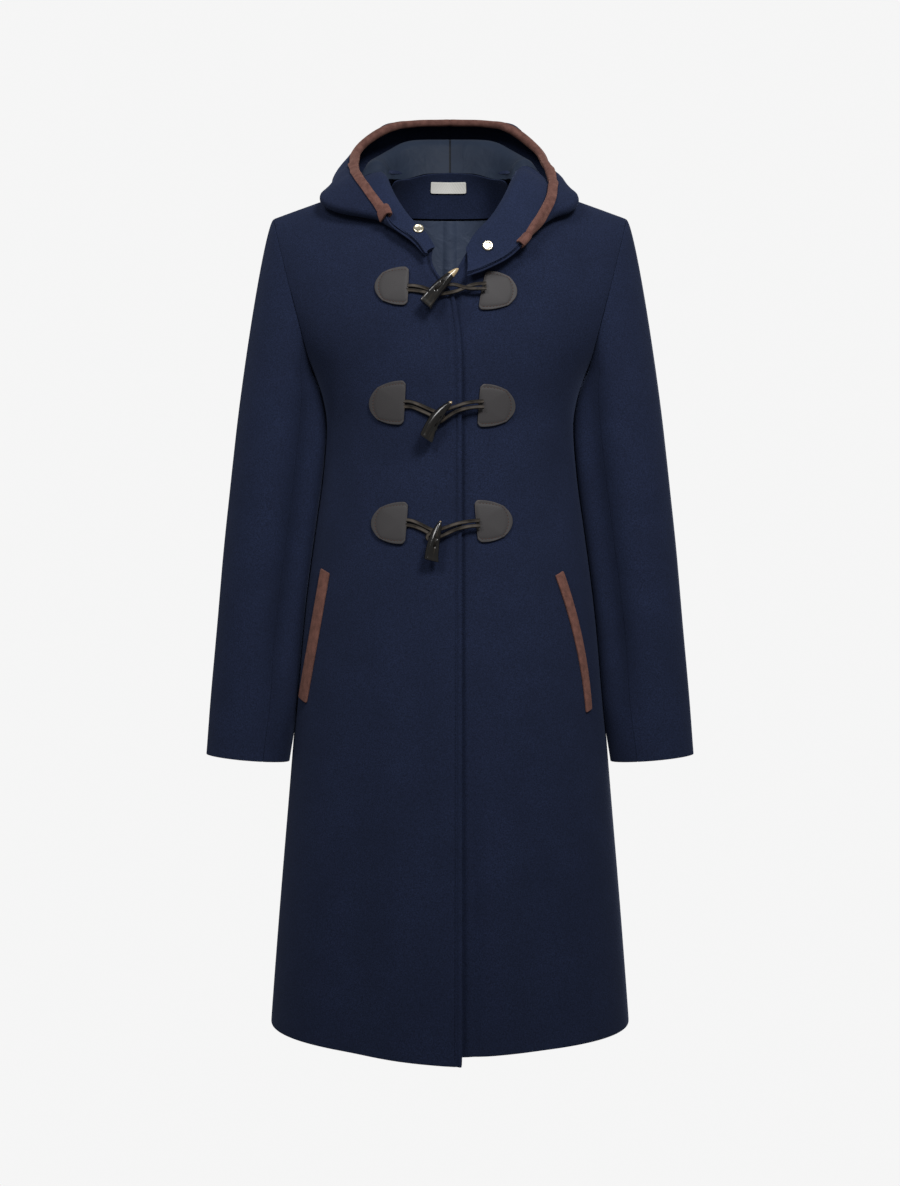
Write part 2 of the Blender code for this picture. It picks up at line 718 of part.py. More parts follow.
def back_lining_place(u, v, stand):
    """The half lining below the neck facing, with a pleat down its middle."""
    out = 1 - 2 * u
    turn = math.copysign(abs(out) ** 1.5, out) * BACK_LINING_TURN
    top_x = 0.19 * math.sin(turn)
    top_z = min(NECK_FACING_END - 2.5 * MM, ridge_z(top_x, 1) - 0.016)
    z = mix(BACK_LINING_END, top_z, v)
    x = min(read(BODY, z)[0], 0.19) * math.sin(turn)
    pleat = PLEAT * math.exp(-((x / PLEAT_WIDE) ** 2))
    return body_point(x, z, 1, stand - pleat)


LABEL_HALF = 0.022
LABEL_TOP = 0.0250
LABEL_TALL = 0.0145
LABEL_X = -0.0015


def label_place(u, v, stand):
    x = LABEL_X + mix(LABEL_HALF, -LABEL_HALF, u)
    z = LABEL_TOP - LABEL_TALL * (1 - v)
    return body_point(x, z, 1, stand)


# ---------------------------------------------------------------- fastenings
CORD_RADIUS = 1.6 * MM
HOLDER_STAND = 2.4 * MM    # the cord that holds a toggle lies on the front
LOOP_STAND = 6.2 * MM      # the loop crosses over it, under the toggle
# x and z of the cut end, x and z of the tip, how far it bends, its stand off the front
TOGGLES = (
    (-0.0265, -0.1590, 0.0085, -0.1205, 2.0 * MM, 14.3 * MM),
    (-0.0235, -0.3040, 0.0015, -0.2640, 4.0 * MM, 14.3 * MM),
    (-0.0195, -0.4410, -0.0100, -0.3970, 2.0 * MM, 13.7 * MM),
)
# along, half width, half thickness
HORN = (
    (0.00, 6.8 * MM, 5.2 * MM),
    (0.06, 7.6 * MM, 5.9 * MM),
    (0.35, 7.6 * MM, 6.0 * MM),
    (0.65, 6.0 * MM, 5.0 * MM),
    (0.88, 3.4 * MM, 3.2 * MM),
    (1.00, 1.2 * MM, 1.2 * MM),
)
# x, z and stand of each cord, from its patch round to its patch
HOLDERS = (
    ((-0.0448, -0.1305), (-0.0360, -0.1325), (-0.0240, -0.1350), (-0.0130, -0.1345),
     (-0.0090, -0.1385), (-0.0130, -0.1425), (-0.0240, -0.1420), (-0.0360, -0.1400),
     (-0.0448, -0.1380)),
    ((-0.0491, -0.2605), (-0.0390, -0.2650), (-0.0270, -0.2740), (-0.0150, -0.2770),
     (-0.0100, -0.2810), (-0.0140, -0.2855), (-0.0260, -0.2820), (-0.0390, -0.2730),
     (-0.0491, -0.2675)),
    ((-0.0471, -0.3930), (-0.0380, -0.3960), (-0.0270, -0.4050), (-0.0170, -0.4090),
     (-0.0120, -0.4130), (-0.0160, -0.4170), (-0.0270, -0.4130), (-0.0380, -0.4040),
     (-0.0471, -0.4005)),
)
LOOPS = (
    ((0.0335, -0.1335), (0.0240, -0.1360), (0.0120, -0.1380), (0.0000, -0.1375),
     (-0.0140, -0.1350), (-0.0240, -0.1330), (-0.0275, -0.1390), (-0.0240, -0.1440),
     (-0.0120, -0.1455), (0.0010, -0.1450), (0.0130, -0.1440), (0.0240, -0.1420),
     (0.0335, -0.1410)),
    ((0.0311, -0.2610), (0.0210, -0.2625), (0.0100, -0.2650), (-0.0010, -0.2690),
     (-0.0130, -0.2740), (-0.0230, -0.2770), (-0.0260, -0.2830), (-0.0220, -0.2880),
     (-0.0110, -0.2840), (0.0010, -0.2770), (0.0110, -0.2720), (0.0210, -0.2700),
     (0.0311, -0.2685)),
    ((0.0278, -0.3920), (0.0180, -0.3930), (0.0070, -0.3960), (-0.0040, -0.4010),
     (-0.0150, -0.4060), (-0.0230, -0.4085), (-0.0260, -0.4140), (-0.0220, -0.4190),
     (-0.0130, -0.4160), (-0.0030, -0.4090), (0.0070, -0.4035), (0.0180, -0.4010),
     (0.0278, -0.3995)),
)


def over_front(x, z, stand):
    """A point over the overlapping front, for things that cross the centre."""
    return on_front(RIGHT, -x, z, stand)


def cord(name, points, material):
    """A cord of one smooth line through its points."""
    curve = bpy.data.curves.new(name, "CURVE")
    curve.dimensions = "3D"
    curve.bevel_depth = CORD_RADIUS
    curve.bevel_resolution = 1
    curve.use_fill_caps = True
    count = math.ceil(1.6 * len(points))
    line = curve.splines.new("POLY")
    line.points.add(count)
    for index, point in enumerate(line.points):
        point.co = (*curve_through(points, index / count), 1.0)
    curve.materials.append(material)
    thing = bpy.data.objects.new(name, curve)
    bpy.context.scene.collection.objects.link(thing)


def holder_points(row):
    return [over_front(x, z, HOLDER_STAND) for x, z in row]


def loop_points(row):
    """The loop lies on the front at its patch and climbs over the holder near the toggle."""
    points = []
    for x, z in row:
        stand = mix(HOLDER_STAND, LOOP_STAND, ease((0.020 - x) / 0.018))
        points.append(over_front(x, z, stand))
    return points


def toggle_place(base_x, base_z, tip_x, tip_z, bend, stand):
    """A tapered horn toggle, its cut end at the base."""
    base = over_front(base_x, base_z, stand)
    tip = over_front(tip_x, tip_z, stand)
    run = (tip - base).normalized()
    wide = run.cross(Vector((0, 1, 0))).normalized()
    thick = wide.cross(run)

    def place(turn, along):
        half, deep = read(HORN, along)
        centre = base.lerp(tip, along) + wide * bend * 4 * along * (1 - along)
        return centre + wide * half * math.cos(turn) + thick * deep * math.sin(turn)

    return place


# side, station and v on the hood's facing
SNAPS = ((RIGHT, 0.900, 0.27), (LEFT, 0.915, 0.36))
SNAP_RADIUS = 6.0 * MM
SNAP_TALL = 2.0 * MM
SNAP_GAP = 0.7 * MM


def snap_place(side, station, v):
    """A snap fastener's half, a flat button on the facing."""
    surface = standing(hood_surface(side), side)
    low = surface(station, v, WOOL + PLY_GAP + FACING + SNAP_GAP)
    high = surface(station, v, WOOL + PLY_GAP + FACING + SNAP_GAP + SNAP_TALL)
    up = (high - low).normalized()
    across = up.orthogonal().normalized()
    other = up.cross(across)

    def place(turn, along):
        radius = SNAP_RADIUS * (1.0 if along < 0.75 else 0.75)
        centre = low.lerp(high, along)
        return centre + (across * math.cos(turn) + other * math.sin(turn)) * radius

    return place


# ---------------------------------------------------------------- build
def empty_scene():
    for thing in list(bpy.data.objects):
        bpy.data.objects.remove(thing)


def build_body(wool):
    for side in (RIGHT, LEFT):
        panel(f"front_{SIDE_NAMES[side]}", front_place(side), 12, BODY_ROWS, -FRONT_WOOL, 0.0, wool)
    panel("back", back_place, 20, BODY_ROWS, -WOOL, 0.0, wool)


def build_sleeves(wool):
    gap = SLEEVE_GAP / 0.05
    around = math.pi - UNDER_HALF_TURN
    for side in (RIGHT, LEFT):
        name = SIDE_NAMES[side]
        top = standing(sleeve_place(side, -around + gap, around - gap), side)
        under = standing(sleeve_place(side, around + gap, 2 * math.pi - around - gap), side)
        panel(f"sleeve_top_{name}", top, 10, 16, -WOOL, 0.0, wool)
        panel(f"sleeve_under_{name}", under, 5, 16, -WOOL, 0.0, wool)


def build_hood(wool, facing, satin, suede):
    grid = (HOOD_COLUMNS, HOOD_ROWS)
    inner = WOOL + PLY_GAP
    for side in (RIGHT, LEFT):
        name = SIDE_NAMES[side]
        surface = standing(hood_surface(side), side)
        panel(f"hood_shell_{name}", surface, *grid, 0.0, WOOL, wool)
        panel(f"hood_facing_{name}", surface, *grid, inner, inner + FACING, facing, facing_keep)
        panel(f"hood_lining_{name}", surface, *grid, inner, inner + LINING, satin,
              lambda column, row: not facing_keep(column, row))
        tape = binding_surface(side)
        panel(f"hood_binding_{name}", tape, BINDING_END[side], 5, 0.0, TAPE, suede)


def build_inside(facing, satin, paper):
    near = LOOSE + WOOL
    panel("lining_back", back_lining_place, 12, 8, -near - LINING, -near, satin)
    near += 1.7 * MM
    panel("neck_facing", neck_facing_place, 12, 4, -near - FACING, -near, facing)
    near += FACING + 2 * SEAM
    panel("label", label_place, 4, 2, -near - 0.6 * MM, -near, paper)


def build_trim(leather, suede):
    for index, row in enumerate(PATCHES):
        side = row[0]
        name = f"patch_{SIDE_NAMES[side]}_{index // 2 + 1}"
        panel(name, patch_place(*row), 4, 4, TRIM_GAP, TRIM_GAP + LEATHER, leather)
    for row in WELTS:
        name = f"welt_{SIDE_NAMES[row[0]]}"
        panel(name, welt_place(*row), 1, 10, TRIM_GAP, TRIM_GAP + 2 * TAPE, suede)


def build_fastenings(leather, horn, metal):
    for number, row in enumerate(HOLDERS, 1):
        cord(f"loop_right_{number}", holder_points(row), leather)
    for number, row in enumerate(LOOPS, 1):
        cord(f"loop_left_{number}", loop_points(row), leather)
    for number, row in enumerate(TOGGLES, 1):
        rod(f"toggle_{number}", toggle_place(*row), 8, 7, horn)
    for row in SNAPS:
        rod(f"snap_{SIDE_NAMES[row[0]]}", snap_place(*row), 12, 4, metal)


def main():
    empty_scene()
    wool = finish("coating_wool", (0.012, 0.017, 0.035), 0.9)
    facing = finish("facing_wool", (0.012, 0.016, 0.032), 0.9)
    satin = finish("lining_satin", (0.035, 0.048, 0.080), 0.4)
    suede = finish("binding_suede", (0.150, 0.068, 0.055), 0.85)
    leather = finish("patch_leather", (0.068, 0.060, 0.064), 0.5)
    horn = finish("toggle_horn", (0.030, 0.022, 0.018), 0.3)
    metal = finish("snap_metal", (0.800, 0.740, 0.600), 0.3, 1.0)
    paper = finish("woven_label", (0.850, 0.850, 0.820), 0.8)
    build_body(wool)
    build_sleeves(wool)
    build_hood(wool, facing, satin, suede)
    build_inside(facing, satin, paper)
    build_trim(leather, suede)
    build_fastenings(leather, horn, metal)


main()
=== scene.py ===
# %% [markdown]
# # A long duffle coat of milled wool
#
# A duffle coat is a hooded overcoat of thick milled wool that closes with horn toggles
# pushed through leather cords.  This lesson dresses the plain solids of such a coat: it
# lays finer cloth on the same forms, rolls the cut edges, sews the seams and gives each
# stuff its own finish.  The coat stands hollow, as if somebody wore it.
#
# Lengths are in metres, +Z is up, the front faces -Y and the wearer's left is +X.

# %% Load the solids
import json
import math

import bmesh
import bpy
from mathutils import Matrix, Vector

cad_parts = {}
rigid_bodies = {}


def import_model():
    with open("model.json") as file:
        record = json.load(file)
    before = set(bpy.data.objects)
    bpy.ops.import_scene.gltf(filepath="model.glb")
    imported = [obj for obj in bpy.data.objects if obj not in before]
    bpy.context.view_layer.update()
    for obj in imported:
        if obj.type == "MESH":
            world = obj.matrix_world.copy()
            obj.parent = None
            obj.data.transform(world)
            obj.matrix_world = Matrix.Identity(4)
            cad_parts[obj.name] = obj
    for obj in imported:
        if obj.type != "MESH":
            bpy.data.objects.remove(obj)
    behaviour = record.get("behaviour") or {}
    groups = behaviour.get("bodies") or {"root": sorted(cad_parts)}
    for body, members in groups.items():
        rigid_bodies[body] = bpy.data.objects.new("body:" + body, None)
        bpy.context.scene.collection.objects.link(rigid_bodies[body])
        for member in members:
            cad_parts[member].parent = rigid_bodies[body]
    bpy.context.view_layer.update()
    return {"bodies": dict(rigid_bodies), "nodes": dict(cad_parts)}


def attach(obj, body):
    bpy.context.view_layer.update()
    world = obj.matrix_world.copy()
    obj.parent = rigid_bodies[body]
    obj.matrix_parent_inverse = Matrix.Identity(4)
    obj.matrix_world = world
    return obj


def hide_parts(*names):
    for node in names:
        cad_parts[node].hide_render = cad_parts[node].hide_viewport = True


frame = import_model()
print("solids:", len(frame["nodes"]))

# %% [markdown]
# ## The studio
#
# Dark wool shows its form only through soft, broad highlights, so the coat gets two large
# softboxes from the front and a pale world that fills the shadows.  A third softbox, behind
# and no higher than the hood, shows the back without shining into the neck.  A long lens,
# level with the middle of the coat, keeps the sides from spreading.

# %% Camera and lights
BODY = next(iter(frame["bodies"]))
CAMERA_AWAY = 2.25
CAMERA_LEVEL = -0.475
LENS = 58.4
LIGHT_SPREAD = math.radians(44)

camera = bpy.data.cameras.new("camera")
camera.lens = LENS
camera.sensor_width = 36.0
watcher = bpy.data.objects.new("camera", camera)
watcher.location = (0.0, -CAMERA_AWAY, CAMERA_LEVEL)
watcher.rotation_euler = (math.pi / 2, 0.0, 0.0)
bpy.context.scene.collection.objects.link(watcher)
bpy.context.scene.camera = watcher


def soft_light(name, place, aim, size, power):
    """A square softbox with a grid, which looks at a point and dims away from it."""
    lamp = bpy.data.lights.new(name, "AREA")
    lamp.shape = "SQUARE"
    lamp.size = size
    lamp.spread = LIGHT_SPREAD
    lamp.energy = power
    thing = bpy.data.objects.new(name, lamp)
    thing.location = place
    thing.rotation_euler = (Vector(aim) - Vector(place)).to_track_quat("-Z", "Y").to_euler()
    bpy.context.scene.collection.objects.link(thing)


soft_light("softbox_right", (0.95, -2.3, 1.55), (0.0, 0.0, -0.2), 0.9, 4.4)
soft_light("softbox_left", (-1.15, -2.1, 1.35), (0.0, 0.0, -0.2), 1.0, 2.1)
soft_light("softbox_back", (0.6, 2.3, 0.1), (0.0, 0.0, -0.5), 1.2, 3.0)
print("camera", CAMERA_AWAY, "m away, lens", LENS, "mm")

# %% [markdown]
# The camera sees a bright paper behind the coat, but only a part of that light may reach
# the wool, or its shadows would fill up.  A round pale floor lies where the wearer would
# stand; it belongs to the stage and not to the coat.

# %% World and floor
PAPER_WHITE = 0.918        # how bright the paper looks to the camera
FILL = 0.22                # the share of its light that reaches the coat
FLOOR_LEVEL, FLOOR_RADIUS = -1.45, 0.8

world = bpy.data.worlds.new("studio")
bpy.context.scene.world = world
world.use_nodes = True
tree = world.node_tree
sky = tree.nodes["Background"]
sky.inputs["Color"].default_value = (PAPER_WHITE, PAPER_WHITE, PAPER_WHITE, 1.0)
seen = tree.nodes.new("ShaderNodeLightPath")
strength = tree.nodes.new("ShaderNodeMapRange")
strength.inputs["To Min"].default_value = FILL
strength.inputs["To Max"].default_value = 1.0
tree.links.new(seen.outputs["Is Camera Ray"], strength.inputs["Value"])
tree.links.new(strength.outputs["Result"], sky.inputs["Strength"])
bpy.context.scene.view_settings.view_transform = "Standard"

floor_mesh = bmesh.new()
bmesh.ops.create_circle(floor_mesh, cap_ends=True, segments=96, radius=FLOOR_RADIUS,
                        matrix=Matrix.Translation((0, 0, FLOOR_LEVEL)))
floor_data = bpy.data.meshes.new("floor")
floor_mesh.to_mesh(floor_data)
floor_mesh.free()
floor = bpy.data.objects.new("floor", floor_data)
bpy.context.scene.collection.objects.link(floor)
print("floor", FLOOR_RADIUS * 2, "m wide at z =", FLOOR_LEVEL)

# %% [markdown]
# ## Small helpers
#
# A garment is drafted from a few measured lines.  Here each line is a table, and `read`
# gives its values anywhere between its rows on a smooth curve, as a drafting curve does.

# %% Reading a table
MM = 0.001


def slope(table, row, column):
    """How steep a column runs at a row, from the rows beside it."""
    low, high = max(row - 1, 0), min(row + 1, len(table) - 1)
    return (table[high][column] - table[low][column]) / (table[high][0] - table[low][0])


def read(table, at):
    """The columns of a table at any value of its first one."""
    if at <= table[0][0]:
        return table[0][1:]
    if at >= table[-1][0]:
        return table[-1][1:]
    row = 0
    while table[row + 1][0] <= at:
        row += 1
    start, end = table[row], table[row + 1]
    span = end[0] - start[0]
    t = (at - start[0]) / span
    square, cube = t * t, t * t * t
    first, last = 2 * cube - 3 * square + 1, 3 * square - 2 * cube
    lean_first, lean_last = (cube - 2 * square + t) * span, (cube - square) * span
    return [start[c] * first + slope(table, row, c) * lean_first
            + end[c] * last + slope(table, row + 1, c) * lean_last
            for c in range(1, len(start))]


def mix(start, end, share):
    """The value at a share of the way from start to end."""
    return start + (end - start) * share


def ease(value):
    """0 below 0, 1 above 1, and a soft step between."""
    value = min(max(value, 0.0), 1.0)
    return value * value * (3 - 2 * value)


def bell(distance, width):
    """1 at no distance, falling off softly over a width."""
    return math.exp(-((distance / width) ** 2))


def curve_through(points, t):
    """A point on one smooth curve through the points, spaced by their distances."""
    knots = [0.0]
    for first, second in zip(points, points[1:]):
        knots.append(knots[-1] + max((second - first).length, 1e-5) ** 0.5)
    table = [(knot, *point) for knot, point in zip(knots, points)]
    return Vector(read(table, t * knots[-1]))


def even(count):
    """Lines that lie evenly from 0 to 1."""
    return [index / count for index in range(count + 1)]


print("half way up a step:", ease(0.5))

# %% [markdown]
# ## How a finish is made
#
# Every finish is a small tree of nodes.  One function adds a node: its own settings come
# by name, and its sockets take either a plain value or another node's output.  Colours are
# written as sRGB hex values and turned to the linear numbers that the shader wants.  The
# size of a pattern is given in millimetres of the real stuff.

# %% Colours and nodes


def linear(colour):
    """An sRGB hex colour as linear numbers."""
    parts = [int(colour[start:start + 2], 16) / 255 for start in (1, 3, 5)]
    parts = [part / 12.92 if part < 0.04045 else ((part + 0.055) / 1.055) ** 2.4
             for part in parts]
    return (*parts, 1.0)


def add(tree, kind, sockets, **settings):
    """Adds a node with its settings, and fills or links its sockets."""
    node = tree.nodes.new(kind)
    for name, value in settings.items():
        setattr(node, name, value)
    for name, value in sockets.items():
        if isinstance(value, bpy.types.NodeSocket):
            tree.links.new(value, node.inputs[name])
        else:
            node.inputs[name].default_value = value
    return node


def new_finish(name, sockets):
    """A material with its tree, its shader, and its place in object coordinates."""
    finish = bpy.data.materials.new(name)
    finish.use_nodes = True
    tree = finish.node_tree
    shader = tree.nodes["Principled BSDF"]
    for socket, value in sockets.items():
        shader.inputs[socket].default_value = value
    place = add(tree, "ShaderNodeTexCoord", {}).outputs["Object"]
    return finish, tree, shader, place


def per_metre(millimetres):
    """The scale of a pattern whose grains are this big."""
    return 1 / (millimetres * MM)


# Mix nodes for colours number their sockets: 0 is the share, 6 and 7 the colours, and the
# mixed colour comes out of 2.
SHARE, FIRST, SECOND, MIXED = 0, 6, 7, 2
print("navy:", [round(part, 4) for part in linear("#1c2234")])

# %% [markdown]
# ## Milled wool
#
# Coating wool is woven, then milled until its fibres felt together and hide the weave.
# It has no gloss at all; short loose fibres catch the light at the edges of the form, so
# the shader has a bluish sheen.  Three noises carry it: fine fibres (drawn at 1.3 mm,
# coarser than real ones so that they show), a soft pile of 5 mm and faint clouds of 45 mm.

# %% Wool for the coat and for its facings


def make_wool(name, dark, light, sheen):
    wool, tree, shader, place = new_finish(name, {
        "Roughness": 0.93, "Specular IOR Level": 0.12, "Sheen Weight": sheen,
        "Sheen Roughness": 0.45, "Sheen Tint": linear("#8b9cc9")})
    fibres = add(tree, "ShaderNodeTexNoise", {
        "Vector": place, "Scale": per_metre(1.3), "Detail": 3.0, "Roughness": 0.65})
    pile = add(tree, "ShaderNodeTexNoise", {
        "Vector": place, "Scale": per_metre(5.0), "Detail": 2.0})
    clouds = add(tree, "ShaderNodeTexNoise", {
        "Vector": place, "Scale": per_metre(45.0), "Detail": 2.0})
    fleck = add(tree, "ShaderNodeMapRange", {
        "Value": fibres.outputs["Fac"], "From Min": 0.36, "From Max": 0.68})
    speckled = add(tree, "ShaderNodeMix", {
        SHARE: fleck.outputs["Result"], FIRST: linear(dark), SECOND: linear(light)},
        data_type="RGBA")
    cloud_share = add(tree, "ShaderNodeMapRange", {
        "Value": clouds.outputs["Fac"], "From Min": 0.3, "From Max": 0.7, "To Max": 0.35})
    clouded = add(tree, "ShaderNodeMix", {
        SHARE: cloud_share.outputs["Result"], FIRST: speckled.outputs[MIXED],
        SECOND: linear(dark)}, data_type="RGBA")
    rough = add(tree, "ShaderNodeMath", {
        0: fibres.outputs["Fac"], 1: pile.outputs["Fac"]}, operation="ADD")
    bump = add(tree, "ShaderNodeBump", {
        "Height": rough.outputs["Value"], "Strength": 0.55, "Distance": 0.35 * MM})
    tree.links.new(clouded.outputs[MIXED], shader.inputs["Base Color"])
    tree.links.new(bump.outputs["Normal"], shader.inputs["Normal"])
    return wool


coating_wool = make_wool("milled_coating_wool", "#171d2f", "#252e49", 0.16)
facing_wool = make_wool("milled_facing_wool", "#1b2337", "#29324f", 0.10)
print("finishes:", coating_wool.name, facing_wool.name)

# %% [markdown]
# ## Satin, suede and leather
#
# The lining is a polyester satin.  Long floats of thread lie on its face, so the eye gets
# soft broad lights on it and a fine level rib.  The ribs are drawn 2.2 mm long and a
# quarter of that high, which is coarser than real floats, so that the camera resolves them;
# creases of 24 mm break the light up, and their crests are painted lighter and their
# hollows darker, which is painted light and shade.  In the middle seam lies a thin dark
# shadow.

# %% Lining satin


def make_satin(name, dark, light, gloss, seam=None):
    satin, tree, shader, place = new_finish(name, {
        "Roughness": 0.55, "Specular IOR Level": gloss, "Sheen Weight": 0.05,
        "Sheen Tint": linear("#9fb0cf")})
    floats = add(tree, "ShaderNodeMapping", {"Vector": place, "Scale": (1.0, 1.0, 4.0)})
    ribs = add(tree, "ShaderNodeTexNoise", {
        "Vector": floats.outputs["Vector"], "Scale": per_metre(2.2), "Detail": 2.0})
    creasing = add(tree, "ShaderNodeTexNoise", {
        "Vector": place, "Scale": per_metre(24.0), "Detail": 3.0, "Distortion": 0.6})
    # the colour follows the crease noise that also raises the bump: crests lighter and
    # hollows darker, which is painted light and shade of the creases
    painted_satin_light_and_shade = add(tree, "ShaderNodeMix", {
        SHARE: creasing.outputs["Fac"], FIRST: linear(dark), SECOND: linear(light)},
        data_type="RGBA")
    fine = add(tree, "ShaderNodeBump", {
        "Height": ribs.outputs["Fac"], "Strength": 0.25, "Distance": 0.15 * MM})
    waves = add(tree, "ShaderNodeBump", {
        "Height": creasing.outputs["Fac"], "Strength": 0.5, "Distance": 4.0 * MM,
        "Normal": fine.outputs["Normal"]})
    if seam:
        # the shadow in the middle seam, where x is 0
        parts = add(tree, "ShaderNodeSeparateXYZ", {"Vector": place})
        off = add(tree, "ShaderNodeMath", {"Value": parts.outputs["X"]},
                  operation="ABSOLUTE")
        in_seam = add(tree, "ShaderNodeMapRange", {
            "Value": off.outputs["Value"], "From Min": 0.6 * MM, "From Max": 1.6 * MM,
            "To Min": 1.0, "To Max": 0.0})
        painted_satin_light_and_shade = add(tree, "ShaderNodeMix", {
            SHARE: in_seam.outputs["Result"], FIRST: painted_satin_light_and_shade.outputs[MIXED],
            SECOND: linear(seam)}, data_type="RGBA")
    tree.links.new(painted_satin_light_and_shade.outputs[MIXED], shader.inputs["Base Color"])
    tree.links.new(waves.outputs["Normal"], shader.inputs["Normal"])
    return satin


# One satin in two base colours: the back lining's is lighter, painted light where it hangs
# in shade, and the hood's is darker, painted shade on the lining that faces the lamps.
lining_satin = make_satin("polyester_satin_painted_light", "#333d51", "#414c61", 0.3)
hood_satin_painted_shade = make_satin("hood_satin_painted_shade", "#1f2736", "#2a3444", 0.12, "#0b0e14")
print("satins:", lining_satin.name, hood_satin_painted_shade.name)

# %% [markdown]
# The binding is suede, leather raised with grit on its flesh side.  The eye gets a dull,
# warm brown, with patches of 7 mm that look lighter or darker because the nap leans
# different ways.  The nap itself is drawn at 0.9 mm, coarser than its real fibres.

# %% Binding suede


def make_suede(name, dark, light):
    suede, tree, shader, place = new_finish(name, {
        "Roughness": 0.9, "Specular IOR Level": 0.15, "Sheen Weight": 0.35,
        "Sheen Roughness": 0.5, "Sheen Tint": linear("#c79a8c")})
    nap = add(tree, "ShaderNodeTexNoise", {
        "Vector": place, "Scale": per_metre(0.9), "Detail": 3.0, "Roughness": 0.7})
    lean = add(tree, "ShaderNodeTexNoise", {
        "Vector": place, "Scale": per_metre(7.0), "Detail": 3.0})
    both = add(tree, "ShaderNodeMath", {
        0: nap.outputs["Fac"], 1: lean.outputs["Fac"]}, operation="ADD")
    share = add(tree, "ShaderNodeMapRange", {
        "Value": both.outputs["Value"], "From Min": 0.75, "From Max": 1.25})
    colour = add(tree, "ShaderNodeMix", {
        SHARE: share.outputs["Result"], FIRST: linear(dark), SECOND: linear(light)},
        data_type="RGBA")
    bump = add(tree, "ShaderNodeBump", {
        "Height": nap.outputs["Fac"], "Strength": 0.6, "Distance": 0.3 * MM})
    tree.links.new(colour.outputs[MIXED], shader.inputs["Base Color"])
    tree.links.new(bump.outputs["Normal"], shader.inputs["Normal"])
    return suede


binding_suede = make_suede("brown_suede", "#523631", "#74524a")
welt_suede = make_suede("brown_suede_lighter", "#5c3f38", "#80584e")
print("suedes:", binding_suede.name, welt_suede.name)

# %% [markdown]
# The fastening patches and the laces are smooth grained leather.  Pebbles of 0.7 and
# 0.9 mm, about as large as real ones, break its faint gloss, and the eye finds a rubbed,
# lighter edge; the attribute `rub` says how near a point is to that edge.  On a lace the
# lighter edges are rubbed leather, and the darker middle they leave is painted shade of
# the lace's fold.

# %% Patch leather and cord leather
RUB = "rub"


def make_leather(name, body, edge, roughness, pebble):
    leather, tree, shader, place = new_finish(name, {
        "Roughness": roughness, "Specular IOR Level": 0.2})
    cells = add(tree, "ShaderNodeTexVoronoi", {
        "Vector": place, "Scale": per_metre(pebble), "Randomness": 0.9})
    blotches = add(tree, "ShaderNodeTexNoise", {
        "Vector": place, "Scale": per_metre(9.0), "Detail": 3.0})
    rubbed = add(tree, "ShaderNodeAttribute", {}, attribute_name=RUB)
    patchy = add(tree, "ShaderNodeMath", {
        0: rubbed.outputs["Fac"], 1: blotches.outputs["Fac"]}, operation="MULTIPLY")
    wear = add(tree, "ShaderNodeMapRange", {
        "Value": patchy.outputs["Value"], "From Min": 0.18, "From Max": 0.62})
    colour = add(tree, "ShaderNodeMix", {
        SHARE: wear.outputs["Result"], FIRST: linear(body), SECOND: linear(edge)},
        data_type="RGBA")
    bump = add(tree, "ShaderNodeBump", {
        "Height": cells.outputs["Distance"], "Strength": 0.35, "Distance": 0.15 * MM})
    tree.links.new(colour.outputs[MIXED], shader.inputs["Base Color"])
    tree.links.new(bump.outputs["Normal"], shader.inputs["Normal"])
    return leather


patch_leather = make_leather("grained_leather", "#403e3f", "#5c5654", 0.55, 0.9)
cord_leather = make_leather("leather_lace", "#15120f", "#4d463f", 0.6, 0.7)
print("leathers:", patch_leather.name, cord_leather.name)

# %% [markdown]
# ## Horn, metal, thread and label
#
# A toggle is sawn from the tip of a buffalo horn and polished, so it is the one glossy
# thing on the coat.  Horn grows in layers: its streaks run from end to end and it turns
# cream towards the tip.  Its own UV map has the way round it as U and the way along it as
# V, and the attributes `pale` and `hole` mark the cream tip and the two drilled holes.  The
# holes are shallow dents painted near black, which is painted shade of their depth.

# %% Horn
toggle_horn, tree, shader, place = new_finish("polished_horn", {
    "Roughness": 0.2, "Specular IOR Level": 0.5, "Coat Weight": 0.4,
    "Coat Roughness": 0.12})
along = add(tree, "ShaderNodeUVMap", {}, uv_map="horn")
streak_space = add(tree, "ShaderNodeMapping", {
    "Vector": along.outputs["UV"], "Scale": (9.0, 1.1, 1.0)})
streaks = add(tree, "ShaderNodeTexNoise", {
    "Vector": streak_space.outputs["Vector"], "Scale": 1.0, "Detail": 4.0,
    "Roughness": 0.6, "Distortion": 0.5})
streaky = add(tree, "ShaderNodeMapRange", {
    "Value": streaks.outputs["Fac"], "From Min": 0.56, "From Max": 0.80})
dark_horn = add(tree, "ShaderNodeMix", {
    SHARE: streaky.outputs["Result"], FIRST: linear("#100e0c"), SECOND: linear("#463c30")},
    data_type="RGBA")
pale = add(tree, "ShaderNodeAttribute", {}, attribute_name="pale")
tip_edge = add(tree, "ShaderNodeMath", {
    0: pale.outputs["Fac"], 1: streaks.outputs["Fac"]}, operation="ADD")
tip_share = add(tree, "ShaderNodeMapRange", {
    "Value": tip_edge.outputs["Value"], "From Min": 0.85, "From Max": 1.1})
horn_colour = add(tree, "ShaderNodeMix", {
    SHARE: tip_share.outputs["Result"], FIRST: dark_horn.outputs[MIXED],
    SECOND: linear("#b5a07c")}, data_type="RGBA")
# the holes are only shallow dents; the near black drawn in them is painted shade of their
# depth
hollow = add(tree, "ShaderNodeAttribute", {}, attribute_name="hole")
with_painted_hole_shade = add(tree, "ShaderNodeMix", {
    SHARE: hollow.outputs["Fac"], FIRST: horn_colour.outputs[MIXED],
    SECOND: linear("#0b0908")}, data_type="RGBA")
tree.links.new(with_painted_hole_shade.outputs[MIXED], shader.inputs["Base Color"])
print("horn has", len(tree.nodes), "nodes")

